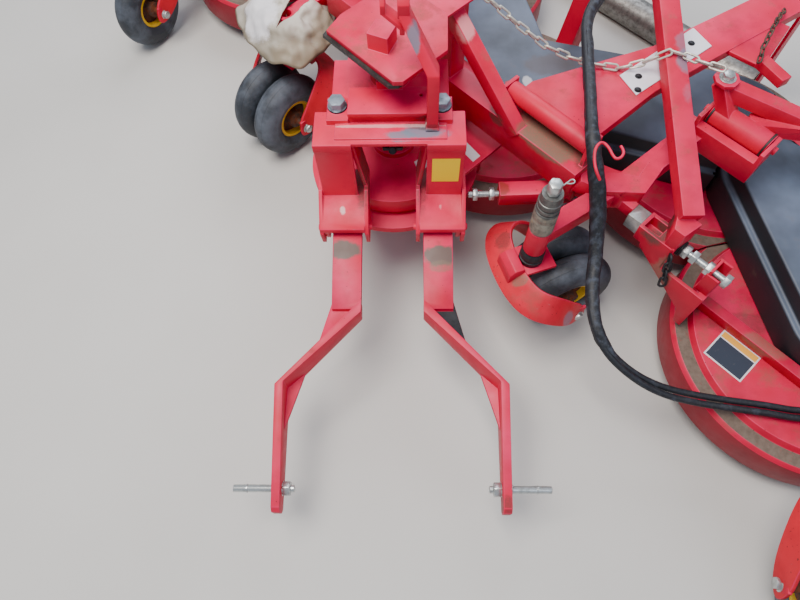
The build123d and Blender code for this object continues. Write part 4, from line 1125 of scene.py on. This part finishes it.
# Rear hinges' fittings: a bolt on the hinge and the bushes at its tube's ends
HINGE_AT = (676, 672)
HINGE_HEAD_Z = 724.5
HINGE_WASHER_Z = 721.8
HINGE_AXIS = (672, 600)
HINGE_ENDS = (693, 870)
for name, side in SIDES:
    x, y = side * HINGE_AT[0], HINGE_AT[1]
    fitted(
        f"hinge_bolts_{name}", f"rear_frame_{name}", ZINC,
        (hex_solid(0.030, 0.014), [upon(on_mower(x, y, HINGE_HEAD_Z))]),
        (ring_solid(0.024, 0.004, 0.003), [upon(on_mower(x, y, HINGE_WASHER_Z))]),
    )
    outward = on_mower(side, 0, 0) - on_mower(0, 0, 0)
    ends = [upon(on_mower(side * x, *HINGE_AXIS), outward) for x in HINGE_ENDS]
    bush = ring_solid(0.0405, 0.030, 0.007)
    fitted(f"hinge_pin_ends_{name}", f"rear_frame_{name}", SEAL, (bush, ends), slot="hose_rubber")

# Depth adjuster at each wing bar's end: a threaded rod with washers and nuts through a red bracket
ROD = (308, 478)
ROD_NUTS = (907, 934, 984, 1041)
ROD_WASHERS = (893, 897.5, 902)
ROD_THREAD = range(952, 986, 3)
BRACKET = (
    # x, y, z of the base, the two ears, the stay and the end plate
    ((996, 1040), (284, 349), (397, 405)),
    ((998, 1038), (284, 292), (400, 482)),
    ((998, 1038), (341, 349), (400, 496)),
    ((1001, 1009), (288, 345), (452, 500)),
    ((884, 892), (265, 353), (398, 505)),
)
for name, side in SIDES:
    def on_rod(x, turn=0.0):
        """A place on the adjuster's rod."""
        outward = on_mower(side, 0, 0) - on_mower(0, 0, 0)
        return upon(on_mower(side * x, *ROD), outward, turn)

    fitted(
        f"depth_adjuster_{name}", "carrier", ZINC,
        (stub_solid(0.0098, 0.168), [on_rod(ROD_WASHERS[0])]),
        (hex_solid(0.038, 0.018), [on_rod(x, 0.3 * x) for x in ROD_NUTS]),
        (ring_solid(0.0105, 0.0095, 0.0012), [on_rod(x) for x in ROD_THREAD]),
    )
    washers = ring_solid(0.025, 0.0098, 0.0035), [on_rod(x) for x in ROD_WASHERS]
    fitted(f"adjuster_washers_{name}", "carrier", BLACK_STEEL, washers)
    bracket = joined(f"adjuster_bracket_{name}", [
        block("bracket", on_mower, either_side(x, side), y, z, RED_WING, 0.0015) for x, y, z in BRACKET
    ])
    settle(bracket, "carrier")

# Red guide loop that holds the hoses, and the ring of the linchpin in a spindle's head
GUIDE_LOOP = (
    # beside the bundle on its left, over it at the rear, and the hook on its right
    (548, -380, 722), (534, -372, 744), (531, -340, 750), (537, -305, 752), (552, -282, 750),
    (566, -278, 746), (578, -296, 744), (584, -318, 742), (592, -330, 742), (608, -322, 740),
    (618, -300, 738), (612, -282, 736),
)
LINCHPIN_Z = 690
LINCHPIN_RING = ((431, -400), (452, -382), (475, -362), (488, -352), (496, -360), (486, -370), (470, -366))
guide = smooth_cord("hose_guide", [from_kingpin(*at) for at in GUIDE_LOOP], 0.008, RED)
settle(made_mesh(guide, "hose_guide"), "carrier")
linchpin = smooth_cord("linchpin_ring", [from_kingpin(*at, LINCHPIN_Z) for at in LINCHPIN_RING], 0.004, ZINC)
settle(made_mesh(linchpin, "linchpin_ring"), "carrier")

# Loose sheet over the inner left castor: crumpled cream cloth that lies on the spindle's sleeve
COWL_CENTRE = (-400, 530)
COWL_OUTLINE = (
    (-604, 650), (-596, 560), (-560, 485), (-520, 430), (-474, 377), (-420, 345), (-370, 330), (-322, 334),
    (-284, 372), (-258, 413), (-226, 460), (-212, 540), (-222, 620), (-262, 690), (-330, 728), (-412, 732),
    (-500, 722), (-570, 700),
)
COWL_EDGE = 440
COWL_RISE = 104
COWL_FOLDS = (
    # kind, size and height in metres
    ("CLOUDS", 0.085, 0.036), ("VORONOI", 0.055, 0.012), ("CLOUDS", 0.02, 0.005),
)
COWL_THICKNESS = 0.0015
RINGS = 30
FINE = 6
SMOOTHINGS = 6
# the slit at its top, through which the dark inside shows
SLIT = ((-418, 432), (-345, 500), (-312, 545), (-300, 610), (-352, 616), (-376, 552), (-402, 480))


def cowl_edge():
    """The cloth's outline in many short steps, its corners smoothed."""
    edge = []
    for i, start_at in enumerate(COWL_OUTLINE):
        end_at = COWL_OUTLINE[(i + 1) % len(COWL_OUTLINE)]
        edge += [Vector([a + (b - a) * j / FINE for a, b in zip(start_at, end_at)]) for j in range(FINE)]
    count = len(edge)
    for time in range(SMOOTHINGS):
        edge = [(edge[i - 1] + edge[i] + edge[(i + 1) % count]) / 3 for i in range(count)]
    return edge


def cowl_surface():
    """Points and faces of a low tent that hangs in soft folds towards its edge."""
    edge = cowl_edge()
    count = len(edge)
    points = [from_kingpin(*COWL_CENTRE, COWL_EDGE + COWL_RISE)]
    for ring in range(1, RINGS + 1):
        r = ring / RINGS
        for i, border in enumerate(edge):
            angle = 2 * pi * i / count
            x, y = Vector(COWL_CENTRE).lerp(border, r * (1 + 0.02 * r * sin(9 * angle)))
            fall = COWL_RISE * (1 - r ** 2.4) + 7 * r * r * sin(7 * angle + 0.6)
            points.append(from_kingpin(x, y, COWL_EDGE + fall))
    faces = [(0, 1 + i, 1 + (i + 1) % count) for i in range(count)]
    for low in range(1, 1 + (RINGS - 1) * count, count):
        for i in range(count):
            j = (i + 1) % count
            faces.append((low + i, low + count + i, low + count + j, low + j))
    return points, faces


points, faces = cowl_surface()
cowl = from_points("castor_cowl_cloth", points, faces=faces)
for kind, size, height in COWL_FOLDS:
    wrinkle(cowl, kind, size, height, 0.5)
modify(cowl, "SOLIDIFY", thickness=COWL_THICKNESS, offset=0.0)
cut_away(cowl, loft("slit", [[from_kingpin(x, y, z) for x, y in SLIT] for z in (400, 620)], PALE, 0))
alone(cowl)
bpy.ops.object.shade_smooth()
settle(cowl, NODE_BODY["castor_cowl"], CLOTH, ("castor_cowl",))

# Chains

# The transport chain sags from the post onto the beam, climbs over the long bar and ends on a rear frame
TRANSPORT_CHAIN = (
    (52, 274, 884), (103, 313, 832), (158, 355, 778), (233, 412, 712), (300, 462, 680), (355, 504, 666),
    (415, 549, 662), (462, 585, 690), (500, 613, 728), (524, 632, 737), (560, 646, 736), (598, 656, 735),
    (650, 670, 739),
)
REAR_CHAIN = (
    (690, 842, 690), (672, 880, 700), (655, 940, 706), (640, 1000, 700), (628, 1060, 684), (622, 1110, 668),
)
DROP_CHAIN = ((899, 256, 470), (926, 252, 352))


def chain_link(pitch, wire):
    """One long welded link lying along X, modelled from a ring whose halves are pulled apart."""
    inside = wire * 0.75
    piece = primitive(
        bpy.ops.mesh.primitive_torus_add, "link",
        major_segments=16, minor_segments=8, major_radius=inside + wire / 2, minor_radius=wire / 2,
    )
    stretch = pitch / 2 - inside
    for vertex in piece.data.vertices:
        vertex.co.x += stretch if vertex.co.x > 0 else -stretch
    bpy.ops.object.shade_smooth()
    return piece


def chain(name, points, pitch, wire, material, body):
    """A chain along straight lines between points, every second link turned a quarter round."""
    points = [on_mower(*at) for at in points]
    places = []
    spare = 0.0
    for a, b in zip(points, points[1:]):
        run = b - a
        axis = run.normalized()
        lean = axis.to_track_quat("X", "Z").to_matrix().to_4x4()
        at = spare
        while at < run.length:
            roll = radians(40 if len(places) % 2 else 130)
            places.append(Matrix.Translation(a + axis * at) @ lean @ Matrix.Rotation(roll, 4, "X"))
            at += pitch
        spare = at - run.length
    fitted(name, body, material, (chain_link(pitch, wire), places))


chain("transport_chain", TRANSPORT_CHAIN, 0.038, 0.0068, CHAIN, "carrier")
chain("rear_chain", REAR_CHAIN, 0.024, 0.0055, CHAIN_DARK, "rear_frame_centre")
for name, side in SIDES:
    drop = [(side * x, y, z) for x, y, z in DROP_CHAIN]
    chain(f"drop_chain_{name}", drop, 0.034, 0.008, BLACK_STEEL, "carrier")

# Plates and labels


def plate(name, corners, thick, material, body, edge=0.0004):
    """A thin flat plate or label on four corners, given its thickness away from what carries it."""
    piece = from_points(name, corners, faces=[tuple(range(len(corners)))])
    modify(piece, "SOLIDIFY", thickness=thick, offset=1.0)
    ease(piece, edge, 1, 30)
    settle(piece, body, material)


VINYL = 0.0006
STICKER = 0.0008
DECK_LABEL = (
    # part, edges on the mower, material, slot
    ("border", (1149, 1281, 243, 357, 222), VINYL_WHITE, "pale_cover"),
    ("band", (1154, 1276, 330, 352, 222.4), VINYL_AMBER, "pale_cover"),
    ("panel", (1154, 1276, 248, 326, 222.4), VINYL_DARK, "cover_black"),
)
DRUM_TOP = 430
DRUM_LABELS = (
    ("small", ((66, -84), (82, -125), (118, -98), (102, -57))),
    ("wide", ((227, -45), (258, -86), (283, -62), (240, -4))),
)
COLUMN_FACE = -264
COLUMN_LABEL = ((118, 668), (118, 566), (196, 566), (196, 668))
BEAM_PLATE_Z = 652
BEAM_PLATE = ((430, 533), (513, 506), (550, 830), (464, 856))
BEAM_BOLTS = ((472, 569), (500, 794), (504, 524))

for name, edges, material, slot in DECK_LABEL:
    plate(f"deck_label_{name}", rectangle(on_mower, *edges), VINYL, material, "carrier")
label = [from_kingpin(x, COLUMN_FACE, z) for x, z in COLUMN_LABEL]
plate("column_label", label, STICKER, VINYL_YELLOW, "headstock")
for name, corners in DRUM_LABELS:
    label = [from_kingpin(x, y, DRUM_TOP) for x, y in corners]
    plate(f"drum_label_{name}", label, STICKER, VINYL_WHITE, "carrier")
corners = [on_mower(x, y, BEAM_PLATE_Z) for x, y in BEAM_PLATE]
plate("beam_plate", corners, 0.004, WHITE, "rear_frame_centre", 0.001)
fitted(
    "beam_plate_bolts", "rear_frame_centre", BLACK_STEEL,
    (hex_solid(0.013, 0.005), [upon(on_mower(x, y, BEAM_PLATE_Z + 4)) for x, y in BEAM_BOLTS]),
    (ring_solid(0.011, 0.003, 0.0015), [upon(on_mower(x, y, BEAM_PLATE_Z + 3.8)) for x, y in BEAM_BOLTS]),
)

# Floor and light
bpy.ops.object.select_all(action="DESELECT")
FLOOR_SIZE = 16
FLOOR_Z = -0.0005
bpy.ops.mesh.primitive_plane_add(size=FLOOR_SIZE, location=(0, 0, FLOOR_Z))
floor = bpy.context.object
floor.name = "studio_floor"
FLOOR, shader, where = start("pale studio floor")
cloudy = ramp(noise(where, 900, 3), 0.3, 0.7)
fill(shader, Base_Color=layered("#c9c7c2", ("#c2c0bb", cloudy, 1)), Roughness=0.85)
floor.data.materials.append(FLOOR)

world = bpy.data.worlds.new("soft sky")
bpy.context.scene.world = world
world.use_nodes = True
fill(world.node_tree.nodes["Background"], Color="#d3e0f2", Strength=0.55)
LIGHTS = (
    # name, place, size, watts, colour, all aimed at the origin
    ("key", (-1.5, -0.9, 4.9), 2.6, 340, "#fff8f2"),
    ("fill", (3.2, -2.6, 3.4), 3.2, 55, "#e8efff"),
    ("back", (0.6, 3.6, 3.6), 3.0, 150, "#eef3ff"),
)
for name, place, size, watts, colour in LIGHTS:
    lamp = bpy.data.lights.new(name, "AREA")
    lamp.size = size
    lamp.energy = watts
    lamp.color = linear(colour)[:3]
    light = bpy.data.objects.new(name, lamp)
    light.location = place
    light.rotation_euler = (-Vector(place)).to_track_quat("-Z", "Y").to_euler()
    bpy.context.collection.objects.link(light)
